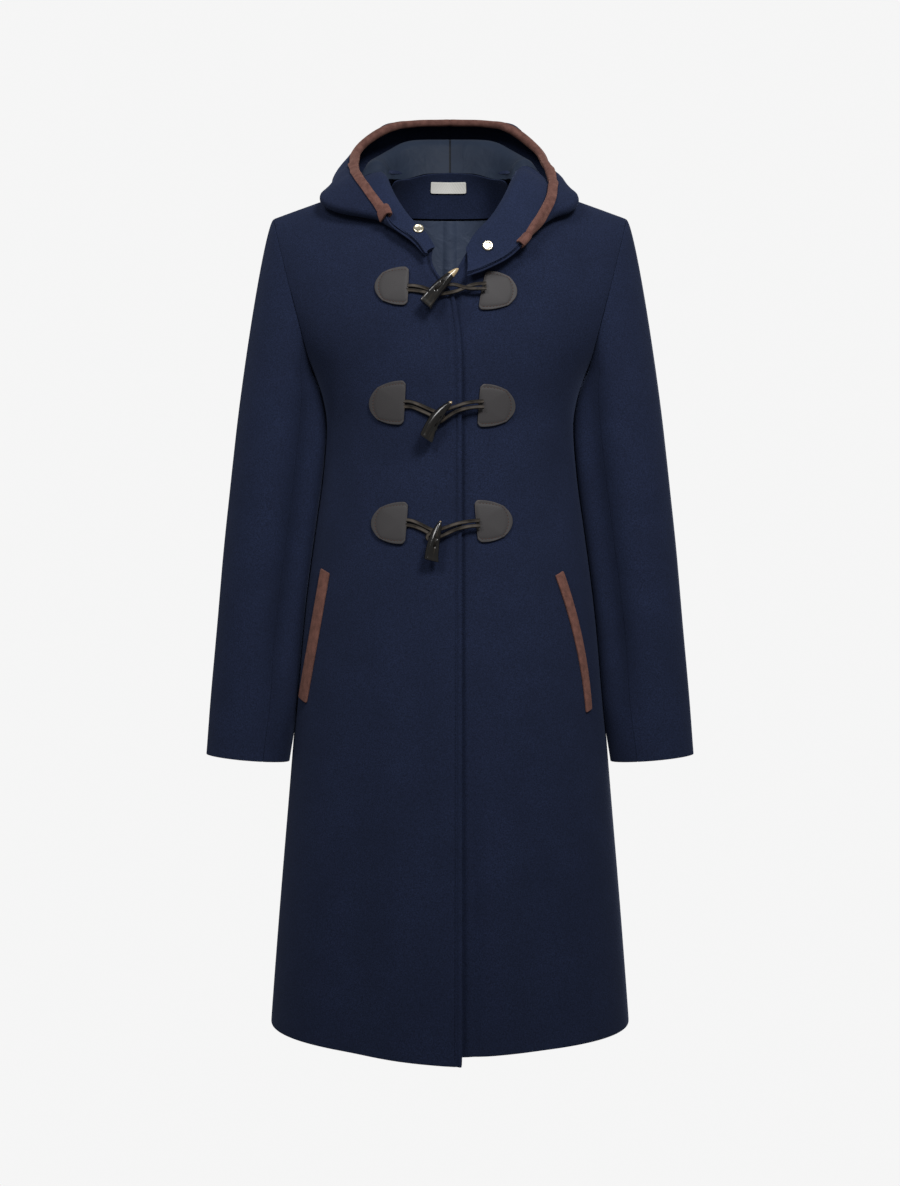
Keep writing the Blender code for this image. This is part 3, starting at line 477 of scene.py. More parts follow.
# %% [markdown]
# Four small finishes are left.  The snaps are brushed brass, a pale glint with scratches
# drawn at 0.6 mm, much coarser than real ones.  The threads are dull and close to the
# colour of what they sew, so a row of stitches reads as short soft dashes; their ply turns
# about every 0.8 mm, since a wave repeats three times in its size.  The label is the one
# white spot inside the neck, and its twill lines are drawn 1.8 mm apart, wider than real.
# The floor's matt paint is there only to catch a faint shadow.

# %% Metal, thread, label and floor
snap_metal, tree, shader, place = new_finish("brushed_brass", {
    "Base Color": linear("#e6dcc2"), "Metallic": 1.0, "Roughness": 0.28})
scratches = add(tree, "ShaderNodeTexNoise", {
    "Vector": place, "Scale": per_metre(0.6), "Detail": 2.0})
bump = add(tree, "ShaderNodeBump", {
    "Height": scratches.outputs["Fac"], "Strength": 0.2, "Distance": 0.05 * MM})
tree.links.new(bump.outputs["Normal"], shader.inputs["Normal"])


def make_thread(name, colour):
    thread, tree, shader, place = new_finish(name, {
        "Base Color": linear(colour), "Roughness": 0.8, "Specular IOR Level": 0.1})
    ply = add(tree, "ShaderNodeTexWave", {
        "Vector": place, "Scale": per_metre(2.5), "Distortion": 1.0})
    bump = add(tree, "ShaderNodeBump", {
        "Height": ply.outputs["Fac"], "Strength": 0.4, "Distance": 0.1 * MM})
    tree.links.new(bump.outputs["Normal"], shader.inputs["Normal"])
    return thread


navy_thread = make_thread("navy_polyester_thread", "#131929")
brown_thread = make_thread("brown_polyester_thread", "#54403a")

woven_label, tree, shader, place = new_finish("woven_label", {
    "Roughness": 0.75, "Specular IOR Level": 0.3})
twill = add(tree, "ShaderNodeTexWave", {
    "Vector": place, "Scale": per_metre(4.0), "Distortion": 0.4},
    wave_type="BANDS", bands_direction="DIAGONAL")
tone = add(tree, "ShaderNodeMix", {
    SHARE: twill.outputs["Fac"], FIRST: linear("#eceae2"), SECOND: linear("#f6f5f0")},
    data_type="RGBA")
tree.links.new(tone.outputs[MIXED], shader.inputs["Base Color"])

floor_paint, tree, shader, place = new_finish("floor_paint", {
    "Base Color": linear("#eeeeee"), "Roughness": 0.9})
floor.data.materials.append(floor_paint)
print("materials:", len(bpy.data.materials))

# %% [markdown]
# ## From a flat cut to a wall of cloth
#
# A cut piece starts as a flat grid, because that is what it is on the table.  A function
# then says where each point of it lies on the body.

# %% Flat sheets


def cloth_grid(place, columns, rows):
    """A flat grid laid through place(u, v); columns and rows list the lines of u and v."""
    mesh = bmesh.new()
    across, up = len(columns) - 1, len(rows) - 1
    bmesh.ops.create_grid(mesh, x_segments=across, y_segments=up, size=0.5)
    for vert in mesh.verts:
        column = round((vert.co.x + 0.5) * across)
        row = round((vert.co.y + 0.5) * up)
        vert.co = place(columns[column], rows[row])
    mesh.normal_update()
    return mesh


def edged(count, near):
    """Even lines with one more close to each end, which keeps a sheet's corners crisp."""
    return [0.0, near] + even(count)[1:-1] + [1 - near, 1.0]


def trial_sheet():
    """A square metre of cloth in four faces, to try the helpers on."""
    return cloth_grid(lambda u, v: Vector((u, v, 0)), even(2), even(2))


trial = trial_sheet()
print("a trial sheet has", len(trial.faces), "faces")

# %% [markdown]
# The wall is made by extruding the whole sheet along its normals, and its cut edges are
# bevelled: thick wool never shows a sharp edge, and the little valley between two bevels
# is what reads as a seam.  Some pieces are sewn to their mirror image in the middle of the
# coat.  There the two walls run a little into each other, so that no slit opens, and their
# outer faces dip to draw the seam.

# %% Walls
MIDDLE_NEAR = 1.6 * MM     # points this near to the middle belong to the seam
MIDDLE_LAP = 0.8 * MM      # how far each half runs past the middle
MIDDLE_DIP = 0.5 * MM      # how far the outer face sinks in the seam
MIDDLE_EDGE = 1.0 * MM     # edges this near to the middle stay unbevelled


def face_outward(mesh):
    """Turns all faces of a closed mesh to its outside."""
    bmesh.ops.recalc_face_normals(mesh, faces=mesh.faces[:])
    if mesh.calc_volume(signed=True) < 0:
        bmesh.ops.reverse_faces(mesh, faces=mesh.faces[:])


def make_wall(mesh, near, far, sign, roll, mirrored=False):
    """Gives a sheet its two faces, near and far off it, and rolls its cut edges.

    mirrored says that the sheet is sewn to its mirror image at x = 0.
    """
    normals = {}
    dip = min(MIDDLE_DIP, (far - near) * 0.3)
    for vert in mesh.verts:
        normal = vert.normal.copy()
        short = 1.0
        if mirrored and abs(vert.co.x) < MIDDLE_NEAR:
            normal.x = 0.0
            vert.co.x = -MIDDLE_LAP * sign
            short = 1 - dip / far
        normals[vert] = normal.normalized() * sign * short
    below = mesh.faces[:]
    grown = bmesh.ops.extrude_face_region(mesh, geom=below, use_keep_orig=True)["geom"]
    above = {item for item in grown if isinstance(item, bmesh.types.BMFace)}
    raised = [item for item in grown if isinstance(item, bmesh.types.BMVert)]
    lookup = {tuple(vert.co): normal for vert, normal in normals.items()}
    lifted = set(raised)
    for vert in raised:
        vert.co += lookup[tuple(vert.co)] * far
    for vert, normal in normals.items():
        if vert not in lifted:
            vert.co += normal * near
    flat = set(below) | above
    cut = []
    for edge in mesh.edges:
        faces = edge.link_faces
        sewn = mirrored and all(abs(vert.co.x) < MIDDLE_EDGE for vert in edge.verts)
        if len(faces) == 2 and sum(face in flat for face in faces) == 1 and not sewn:
            cut.append(edge)
    bmesh.ops.bevel(mesh, geom=cut, offset=roll, offset_type="OFFSET", segments=2,
                    profile=0.5, affect="EDGES", material=-1)
    face_outward(mesh)


make_wall(trial, 0.0, 0.1, 1, 0.01)
print("its wall has", len(trial.faces), "faces")
trial.free()

# %% [markdown]
# A finished mesh becomes an object that rides on the coat's body.

# %% Finished pieces


def to_piece(name, mesh, finish, nodes=(), smoothing=1, sharp=180):
    """Makes the object of a finished mesh, which rides on the coat's body."""
    data = bpy.data.meshes.new(name)
    mesh.to_mesh(data)
    mesh.free()
    data.shade_smooth()
    if sharp < 180:
        data.set_sharp_from_angle(angle=math.radians(sharp))
    data.materials.append(finish)
    piece = bpy.data.objects.new(name, data)
    bpy.context.scene.collection.objects.link(piece)
    if smoothing:
        finer = piece.modifiers.new("finer", "SUBSURF")
        finer.levels = finer.render_levels = smoothing
    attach(piece, BODY)
    if nodes:
        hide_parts(*nodes)
    return piece


def sew_sheet(name, mesh, wall, finish, node, slot, mirrored=False, **told):
    area = sum(face.calc_area() for face in mesh.faces)
    make_wall(mesh, *wall, mirrored)
    piece = to_piece(name, mesh, finish, [node])
    wide, tall = told["flat"]
    print(name, "shows", round(area, 4), "m2 of cloth")


def mark(piece, layer_name, values):
    """Stores one number for each point of a piece, which its finish can read."""
    layer = piece.data.attributes.new(layer_name, "FLOAT", "POINT")
    layer.data.foreach_set("value", values)


print("finished pieces smooth once and ride on", BODY)

# %% [markdown]
# Trim is laid on cloth, so it needs the way off a surface.  Cords, toggles and snaps are
# bars: a disc that is extruded ring by ring and then laid along its line.

# %% Off a surface, and bars


def standing(place, sign):
    """Turns a surface function into one that also moves off it, along its normal."""
    step = 0.002

    def stand_off(u, v, stand):
        across = place(min(u + step, 1.0), v) - place(max(u - step, 0.0), v)
        along = place(u, min(v + step, 1.0)) - place(u, max(v - step, 0.0))
        return place(u, v) + across.cross(along).normalized() * stand * sign

    return stand_off


def seat(place, low, high):
    """The point where place(stand) begins, and its way off the cloth from there."""
    foot = place(low)
    return foot, (place(high) - foot).normalized()


def bar_mesh(place, sides, rings):
    """A closed bar: a disc extruded ring by ring, then laid through place(turn, along)."""
    mesh = bmesh.new()
    bmesh.ops.create_circle(mesh, cap_ends=True, segments=sides, radius=1.0)
    cap = mesh.faces[:]
    for ring in range(rings):
        grown = bmesh.ops.extrude_face_region(mesh, geom=cap, use_keep_orig=True)["geom"]
        if ring > 0:
            bmesh.ops.delete(mesh, geom=cap, context="FACES_ONLY")
        cap = [item for item in grown if isinstance(item, bmesh.types.BMFace)]
        raised = [item for item in grown if isinstance(item, bmesh.types.BMVert)]
        bmesh.ops.translate(mesh, verts=raised, vec=(0, 0, 1))
    for vert in mesh.verts:
        vert.co = place(math.atan2(vert.co.y, vert.co.x), vert.co.z / rings)
    face_outward(mesh)
    return mesh


trial = bar_mesh(lambda turn, along: Vector((math.cos(turn), math.sin(turn), along)), 8, 2)
print("a trial bar has", len(trial.faces), "faces")
trial.free()

# %% [markdown]
# ## Stitches
#
# A topstitch is a row of short threads that sink into the cloth at both ends.  Each one is
# a small stretched ball, laid along the line of the seam; all of a line's stitches are one
# mesh.  Real ones are 3 to 4 mm long and half a millimetre thick.

# %% A line of stitches


def add_stitches(mesh, path, pitch=4.0 * MM, share=0.72, thick=0.3 * MM):
    """Adds stitches along path(t), which gives a point and the normal of the cloth."""
    count = 240
    samples = [path(t) for t in even(count)]
    walked = [0.0]
    for (first, _), (second, _) in zip(samples, samples[1:]):
        walked.append(walked[-1] + (second - first).length)
    stitches = int(walked[-1] / pitch)
    index = 0
    for number in range(stitches):
        target = (number + 0.5) * walked[-1] / stitches
        while index < count - 1 and walked[index + 1] < target:
            index += 1
        t = (target - walked[index]) / max(walked[index + 1] - walked[index], 1e-9)
        (start, first_up), (end, last_up) = samples[index], samples[index + 1]
        run = (end - start).normalized()
        up = first_up.lerp(last_up, t)
        side = run.cross(up).normalized()
        up = side.cross(run)
        turn = Matrix((side * thick, up * thick, run * pitch * share / 2))
        turn = turn.transposed().to_4x4()
        turn.translation = start.lerp(end, t)
        bmesh.ops.create_uvsphere(mesh, u_segments=6, v_segments=4, radius=1.0, matrix=turn)
    return stitches


print("stitches on 20 mm:", add_stitches(bmesh.new(), lambda t: (
    Vector((0.02 * t, 0, 0)), Vector((0, 0, 1)))))

# %% [markdown]
# ## The form of the coat
#
# The coat narrows at the waist and opens to the hem.  Each level is a rounded box drawn
# from a half width, a depth in front and a depth behind.  Above the armholes the sheet
# also turns over the shoulder, so the same formula holds for the height.

# %% Measures of the body
SEAM = 0.05 * MM           # between two pieces that are sewn together
WOOL = 2.5 * MM            # how thick each cloth is
FRONT_WOOL = 3.0 * MM
FACING = 1.4 * MM
LINING = 1.0 * MM
# the level of the hem and of the armhole's foot, the tip of the shoulder
HEM_Z = -0.980
PIT_Z = -0.227
TIP_X, TIP_Z = 0.206, -0.038
SHOULDER_SLOPE = 0.35
NECK_HALF = 0.0765
NECK_RISE = 0.040
PIT_X = 0.157
# how full the sheet's curves are: round the body, and over the shoulder before and behind
SIDE_BOW, FRONT_BOW, BACK_BOW = 2.2, 2.0, 2.6
# how far the overlapping front stands out and the lower one in, from where to where over
# the chest this fades, and between which levels it begins
LAP_STEP, LAP_FROM, LAP_REACH = 2.4 * MM, 0.04, 0.13
LAP_TOP, LAP_FULL = -0.075, -0.125
# the waves of the skirt: how many, how deep, the level where they begin, the mean radius
FLUTES, FLUTE, FLUTE_TOP, SKIRT_RADIUS = 5, 4.0 * MM, -0.45, 0.18
LEFT, RIGHT = 1, -1
SIDE_NAMES = {RIGHT: "right", LEFT: "left"}

# level, half width, depth in front, depth behind
LEVELS = (
    (-0.985, 0.2065, 0.175, 0.165), (-0.834, 0.1960, 0.160, 0.152),
    (-0.694, 0.1855, 0.148, 0.142), (-0.593, 0.1780, 0.140, 0.136),
    (-0.483, 0.1680, 0.130, 0.125), (-0.401, 0.1570, 0.122, 0.108),
    (-0.345, 0.1490, 0.119, 0.100), (-0.289, 0.1445, 0.119, 0.098),
    (-0.264, 0.1460, 0.121, 0.100), (PIT_Z, PIT_X, 0.124, 0.104),
    (-0.180, 0.1850, 0.124, 0.104), (-0.130, 0.2040, 0.124, 0.104),
    (TIP_Z, 0.2220, 0.124, 0.104), (0.080, 0.2280, 0.124, 0.104),
)
# station round the neck (0 centre back, RIDGE the shoulder seam, 1 centre front), x, z
RIDGE = 0.6
NECK = (
    (0.00, 0.0000, 0.0330), (0.20, 0.0310, 0.0300), (0.40, 0.0560, 0.0220),
    (0.50, 0.0680, 0.0170), (RIDGE, NECK_HALF, 0.0073), (0.68, 0.0735, -0.0040),
    (0.76, 0.0635, -0.0290), (0.84, 0.0475, -0.0560), (0.92, 0.0290, -0.0760),
    (1.00, 0.0190, -0.0935),
)
# level, how far the front edge of each side lies past the centre line
FRONT_EDGE = {
    RIGHT: (
        (-0.990, 0.0130), (-0.240, 0.0130), (-0.194, 0.0120), (-0.165, 0.0084),
        (-0.145, 0.0044), (-0.133, -0.0044), (-0.1165, -0.0155), (-0.104, -0.0200),
        (-0.0935, -0.0190),
    ),
    LEFT: (
        (-0.990, 0.0300), (-0.240, 0.0300), (-0.180, 0.0240), (-0.136, 0.0045),
        (-0.1016, -0.0145), (-0.0935, -0.0190),
    ),
}
print("hem half width:", LEVELS[0][1], "m")

# %% [markdown]
# Worn cloth is never even.  Soft troughs beside the front edge, under the fastenings and
# along the skirt are listed, each with its two ends, its width and its depth; a
# negative depth is a ridge.

# %% Soft troughs of the fronts
TROUGH_PAST = 0.3          # the share of its length over which a trough fades past each end
# side, x and z of one end, x and z of the other, width, depth
TROUGHS = (
    (RIGHT, 0.0120, -0.1500, 0.0080, -0.2450, 0.0090, 3.2 * MM),
    (RIGHT, 0.0290, -0.3050, 0.0600, -0.3450, 0.0160, 3.0 * MM),
    (RIGHT, 0.0300, -0.1700, 0.0800, -0.2400, 0.0220, 2.4 * MM),
    (RIGHT, 0.0450, -0.4700, 0.0300, -0.8000, 0.0240, 2.4 * MM),
    (RIGHT, 0.0950, -0.6200, 0.1120, -0.9700, 0.0280, 5.0 * MM),
    (RIGHT, 0.0600, -0.7000, 0.0680, -0.9700, 0.0240, -2.8 * MM),
    (RIGHT, 0.1280, -0.3000, 0.1180, -0.4000, 0.0160, 3.6 * MM),
    (LEFT, 0.0250, -0.1450, 0.0160, -0.2550, 0.0090, 2.8 * MM),
    (LEFT, 0.0500, -0.1000, 0.0900, -0.1700, 0.0220, 2.8 * MM),
    (LEFT, 0.0350, -0.4400, 0.0500, -0.7500, 0.0240, 2.2 * MM),
    (LEFT, 0.0225, -0.6400, 0.0245, -1.0000, 0.0110, 4.5 * MM),
    (LEFT, 0.0560, -0.7600, 0.0600, -0.9300, 0.0240, -3.0 * MM),
    (LEFT, 0.0900, -0.6800, 0.1050, -0.9700, 0.0280, 4.6 * MM),
    (LEFT, 0.1300, -0.3100, 0.1150, -0.4100, 0.0160, 3.6 * MM),
)


def trough_depth(side, x, z):
    """How far the troughs sink a front at a point of its face."""
    depth = 0.0
    for row_side, x1, z1, x2, z2, width, deep in TROUGHS:
        if row_side != side or abs(x - (x1 + x2) / 2) > 3 * width + abs(x1 - x2):
            continue
        run_x, run_z = x2 - x1, z2 - z1
        long = run_x * run_x + run_z * run_z
        t = ((x - x1) * run_x + (z - z1) * run_z) / long
        if not -TROUGH_PAST < t < 1 + TROUGH_PAST:
            continue
        off = math.hypot(x - x1 - t * run_x, z - z1 - t * run_z)
        fade = ease((t + TROUGH_PAST) / (2 * TROUGH_PAST))
        fade *= ease((1 + TROUGH_PAST - t) / (2 * TROUGH_PAST))
        depth += deep * bell(off, width) * fade
    return depth


print("troughs:", len(TROUGHS))

# %% Surface of the body


def ridge_z(x, way):
    """The height of the shoulder line over x; behind the neck the back runs on higher."""
    height = TIP_Z + SHOULDER_SLOPE * (TIP_X - abs(x))
    if way > 0:
        height += NECK_RISE * max(0.0, 1 - (x / NECK_HALF) ** 2)
    return height


def arm_x(z):
    """The plane of the armhole seam."""
    return mix(PIT_X, TIP_X, (z - PIT_Z) / (TIP_Z - PIT_Z))


def body_y(x, z, way):
    """The front (way -1) or back (way 1) surface over a point of its face."""
    half, front, back = read(LEVELS, z)
    depth, bow = (front, FRONT_BOW) if way < 0 else (back, BACK_BOW)
    across = min(abs(x) / half, 1.0)
    rise = min(max((z - PIT_Z) / (ridge_z(x, way) - PIT_Z), 0.0), 1.0)
    reach = depth * (1 - across**SIDE_BOW) ** (1 / SIDE_BOW) * (1 - rise**bow) ** (1 / bow)
    return way * max(reach, SEAM / 2)


def drape(point):
    """Adds the soft waves of the skirt, which grow towards the hem."""
    turn = math.atan2(point.x, -point.y)
    strength = ease((FLUTE_TOP - point.z) / (FLUTE_TOP - HEM_Z))
    wave = FLUTE * strength * math.cos(FLUTES * turn) / SKIRT_RADIUS
    return Vector((point.x * (1 + wave), point.y * (1 + wave), point.z))


def front_y(side, x, z):
    """The outer surface of a front: the right one steps out where they overlap.

    The troughs fade towards the side seam, where the surface turns back.
    """
    step = LAP_STEP * (1 - ease((abs(x) - LAP_FROM) / (LAP_REACH - LAP_FROM)))
    step *= ease((z - LAP_TOP) / (LAP_FULL - LAP_TOP))
    y = body_y(x, z, -1)
    sunk = trough_depth(side, abs(x), z) * ease((-y - 0.02) / 0.05)
    return y + side * step + sunk


def body_point(x, z, way, stand=0.0, side=None):
    """A point off the body over x and z; side names a front."""
    step = 0.5 * MM
    sign = math.copysign(1.0, x)
    x = abs(x)

    def depth(at_x, at_z):
        return front_y(side, at_x, at_z) if side else body_y(at_x, at_z, way)

    y = depth(x, z)
    lean = (y - depth(x - step, z)) / step
    fall = (y - depth(x, z - step)) / step
    normal = Vector((-way * lean, way, -way * fall)).normalized()
    point = Vector((x, y, z)) + normal * stand
    point.y = way * max(way * point.y, SEAM / 2)
    return drape(Vector((sign * point.x, point.y, point.z)))


def on_front(side, x, z, stand):
    """A point off the outer face of a front; x is measured from the centre to its side."""
    point = body_point(x, z, -1, stand, side)
    return Vector((side * point.x, point.y, point.z))


print("chest stands at y =", round(body_y(0.0, -0.2, -1), 4))

# %% [markdown]
# ## Fronts
#
# Each front is one cut piece: its short side is the front edge, and it ends at the side
# seam, the armhole, the shoulder and the neck.  The grid's columns lie close together near
# the front edge, where a topstitched line about 6 mm from the edge presses a fine groove
# and the edge itself swells a little, because four layers of wool are folded there.

# %% Place of a front
LOWER_SHARE = 0.6          # the share of a panel's rows that lies below the armhole
STITCH_IN = 6.3 * MM       # from the front edge to its topstitching
# distance from the front edge, width and height of its roll, of the groove of its
# stitches and of the welt that the facing makes
EDGE_FORM = (
    (2.6 * MM, 2.4 * MM, 1.2 * MM), (STITCH_IN, 1.4 * MM, -1.3 * MM),
    (11.0 * MM, 3.0 * MM, 0.45 * MM),
)
EDGE_SHARE = 0.12          # the share of a front's width that this form reaches
# how far the left front sinks along the edge that lies over it, and how wide
UNDER_DEPTH, UNDER_WIDTH = 2.6 * MM, 3.4 * MM
HEM_RISE = 13.5 * MM       # how much higher the hem is at the side seams
FRONT_DROP = {RIGHT: 5 * MM, LEFT: -3 * MM}     # how much lower each hem's front corner is
# the overlapping skirt stands off: how far, from which level over which height, and over
# which share of its width
OPEN_STAND, OPEN_LEVEL, OPEN_HEIGHT, OPEN_SHARE = 2.2 * MM, -0.66, 0.25, 0.30


def row_level(v, low, high):
    """The level of a row below the armhole; the rows lie closer together near it."""
    return mix(low, high, 1 - (1 - v / LOWER_SHARE) ** 1.35)


def edge_relief(distance):
    """The form of a front beside its edge, as a height off it."""
    return sum(height * bell(distance - at, width) for at, width, height in EDGE_FORM)


def under_lap(x, z):
    """How far the left front sinks beside the edge that lies over it."""
    past_edge = x - read(FRONT_EDGE[RIGHT], z)[0] - 0.5 * MM
    return -UNDER_DEPTH * bell(past_edge, UNDER_WIDTH)


def hem_rise(out):
    """How much higher the hem lies towards the side seam."""
    return HEM_RISE * out**1.25


def top_line(out, neck_share, way):
    """The top of a panel: first along the neck, then along the shoulder."""
    if out <= neck_share:
        middle = 1.0 if way < 0 else 0.0
        return read(NECK, mix(middle, RIDGE, out / neck_share))
    x = mix(NECK_HALF, TIP_X - SEAM / 2, (out - neck_share) / (1 - neck_share))
    return x, ridge_z(x, way)


def climbed(out, v):
    """How far a row above the armhole has climbed to the top; the side climbs sooner."""
    climb = (v - LOWER_SHARE) / (1 - LOWER_SHARE)
    return mix(climb, math.sin(climb * math.pi / 2), ease(2 * out))


def front_place(side):
    """The front of one side: u from its front edge to the side, v from hem to top."""
    def place(u, v):
        top_x, top_z = top_line(u, 5 / 12, -1)
        hem = HEM_Z - FRONT_DROP[side] * (1 - u) ** 2 + hem_rise(u)
        low = min(v / LOWER_SHARE, 1.0)
        z = row_level(low * LOWER_SHARE, hem, PIT_Z)
        half = read(LEVELS, z)[0]
        edge = -read(FRONT_EDGE[side], z)[0]
        turn = mix(math.asin(edge / half), math.pi / 2, u)
        x = half * math.sin(turn)
        if v > LOWER_SHARE:
            climb = climbed(u, v)
            z = mix(PIT_Z, top_z, climb)
            bend = -read(FRONT_EDGE[side], z)[0] - mix(edge, NECK[-1][1], climb)
            x = mix(x, top_x, climb) + bend * (1 - u) ** 2
            x = min(x, arm_x(z) - SEAM / 2)
        stand = 0.0
        if u < EDGE_SHARE:
            stand = edge_relief(x + read(FRONT_EDGE[side], z)[0])
        if side == RIGHT:
            opening = ease((OPEN_LEVEL - z) / OPEN_HEIGHT) * ease(1 - u / OPEN_SHARE)
            stand += OPEN_STAND * opening
        elif u < 0.25:
            stand += under_lap(x, z)
        return on_front(side, x, z, stand)

    return place


EDGE_LINES = [0.0, 0.004, 0.009, 0.014, 0.018, 0.021, 0.024, 0.027, 0.031, 0.036,
              0.042, 0.050, 0.062, 0.078, 0.098]
FRONT_LINES = {
    RIGHT: EDGE_LINES + [mix(0.122, 1.0, share) for share in even(35)],
    LEFT: [0.0, 0.006, 0.014, 0.030, 0.055, 0.080, 0.098]
    + [mix(0.106, 0.180, share) for share in even(14)]
    + [mix(0.195, 1.0, share) for share in even(32)],
}
BODY_LINES = even(118)
print("hem corner of the overlapping front: z =", round(front_place(RIGHT)(0.0, 0.0).z, 3))

# %% Build the fronts
for side, name in SIDE_NAMES.items():
    sheet = cloth_grid(front_place(side), FRONT_LINES[side], BODY_LINES)
    sew_sheet(f"coat_front_{name}", sheet, (-FRONT_WOOL, 0.0, side, 0.9 * MM), coating_wool,
              f"front_{name}", "coating_wool", flat=(0.36, 1.03), held="hung",
              rests_on=["coat_back"])

# %% [markdown]
# ## Back
#
# The back is one wide piece without a seam.  It runs from side seam to side seam and ends
# in the curve of the neck.  Nobody sees it from the front, but the hem shows its inside,
# so it gets the same wall and the same edges.

# %% Place and build of the back


def back_place(u, v):
    """The whole back: u from the wearer's left to the right, v from hem to top."""
    side = math.copysign(1.0, 1 - 2 * u)
    out = abs(1 - 2 * u)
    top_x, top_z = top_line(out, 0.4, 1)
    z = row_level(min(v, LOWER_SHARE), HEM_Z + hem_rise(out), PIT_Z)
    x = read(LEVELS, z)[0] * math.sin(out * math.pi / 2)
    if v > LOWER_SHARE:
        climb = climbed(out, v)
        z = mix(PIT_Z, top_z, climb)
        x = min(mix(x, top_x, climb), arm_x(z) - SEAM / 2)
    point = body_point(x, z, 1)
    return Vector((side * point.x, point.y, point.z))


sew_sheet("coat_back", cloth_grid(back_place, even(60), even(96)),
          (-WOOL, 0.0, 1, 0.8 * MM), coating_wool, "back", "coating_wool",
          flat=(0.62, 1.05), held="hung", rests_on=["coat_front_left", "coat_front_right"])

# %% [markdown]
# ## Sleeves
#
# A coat sleeve has two pieces: a wide top sleeve and a narrow under sleeve that lies
# against the body.  Both start at the armhole seam, where a smooth curve carries the cloth
# from the shoulder into the hanging tube.  A long soft crease runs down from the front of
# the armhole, as it does on any arm that hangs.

# %% Measures of the sleeves
# how far down the arm, centre x, y, z, half width, half depth
SLEEVE = (
    (0.00, 0.1985, -0.003, -0.300, 0.0520, 0.0625),
    (0.12, 0.2030, -0.005, -0.343, 0.0520, 0.0620),
    (0.37, 0.2136, -0.010, -0.436, 0.0506, 0.0585),
    (0.59, 0.2221, -0.017, -0.518, 0.0484, 0.0545),
    (0.82, 0.2283, -0.024, -0.600, 0.0488, 0.0500),
    (1.00, 0.2344, -0.030, -0.6644, 0.0469, 0.0465),
)
SLEEVE_GAP, SLEEVE_RADIUS = 0.2 * MM, 0.05      # between the two pieces of a sleeve
CAP = 0.45                 # the share of a sleeve's rows that lies in its curved top
UNDER_HALF_TURN = math.radians(63)
ARM_GAP = 0.6 * MM         # between a sleeve and the side of the coat
# level, how far the inner side of the sleeve sinks towards the coat
LEANING = (
    (-0.690, 0.0025), (-0.640, 0.0035), (-0.600, 0.0060), (-0.500, 0.0070),
    (-0.360, 0.0075), (-0.290, 0.0085), (-0.250, 0.0085), (-0.222, 0.0020),
)
# the long crease: its turn round the arm, its width, how far and which way it sinks, and
# over which levels it begins and ends
CREASE_TURN, CREASE_WIDTH = math.radians(127), math.radians(15)
CREASE_DEPTH, CREASE_WAY = 11.0 * MM, Vector((0.3, 0.95, 0))
CREASE_TOP, CREASE_FULL, CREASE_FADES, CREASE_FOOT = -0.15, -0.27, -0.51, -0.65
# turn, level and width of the middle of each small crease, its lean and its depth
ARM_CREASES = (
    (math.radians(75), -0.290, 0.030, 0.5, 1.6 * MM),
    (math.radians(60), -0.385, 0.028, -0.4, 1.4 * MM),
    (math.radians(88), -0.470, 0.026, 0.6, 1.5 * MM),
    (math.radians(250), -0.350, 0.030, 0.5, 2.0 * MM),
    (math.radians(240), -0.430, 0.030, -0.5, 2.0 * MM),
)


def armhole(turn):
    """The armhole seam: turn 0 at the shoulder tip, a quarter turn at the front."""
    z = mix(PIT_Z, TIP_Z, (1 + math.cos(turn)) / 2)
    x = arm_x(z)
    way = -1 if math.sin(turn) > 0 else 1
    y = body_y(x, z, way) if abs(math.sin(turn)) > 1e-6 else 0.0
    return Vector((x + SEAM / 2, y, z))


def sleeve_ring(turn, down):
    """A point of the sleeve on a ring square to its length."""
    x, y, z, wide, deep = read(SLEEVE, down)
    step = 0.01
    above = Vector(read(SLEEVE, max(down - step, 0.0))[:3])
    below = Vector(read(SLEEVE, min(down + step, 1.0))[:3])
    run = (below - above).normalized()
    outward = Vector((-run.z, 0, run.x))
    return (Vector((x, y, z)) + outward * wide * math.cos(turn)
            + Vector((0, -1, 0)) * deep * math.sin(turn)), run


def clear_of_side(point, gap):
    """Moves a point of a sleeve out of the side of the body below the armhole."""
    if point.z >= PIT_Z:
        return point
    half, front, back = read(LEVELS, point.z)
    depth = front if point.y < 0 else back
    size = (abs(point.x) / half) ** SIDE_BOW + (abs(point.y) / depth) ** SIDE_BOW
    size = size ** (1 / SIDE_BOW)
    wanted = 1 + gap / half
    if size >= wanted:
        return point
    return Vector((point.x * wanted / size, point.y * wanted / size, point.z))


print("armhole is", round(TIP_Z - PIT_Z, 3), "m deep")

# %% [markdown]
# Round the arm a piece is drawn by its turn, down the arm by its rows.  Above the straight
# tube the rows follow a curve that leaves the armhole along the shoulder on top and down
# the side below, and arrives in line with the tube.

# %% Place of a sleeve piece
ALONG_SHOULDER, SHOULDER_PULL = (0.944, -0.5, -0.33), 0.03
DOWN_SIDE, SIDE_PULL = (-0.38, 0, -1.0), 0.4


def arm_creases(turn, level):
    """The small creases of the hanging arm, as a distance to sink in."""
    sunk, radius = 0.0, 0.055
    for middle, at, width, lean, depth in ARM_CREASES:
        off = (turn % (2 * math.pi) - middle) * radius
        sunk += depth * bell(off, 0.028) * bell(level - at - lean * off, width * 0.5)
    return sunk


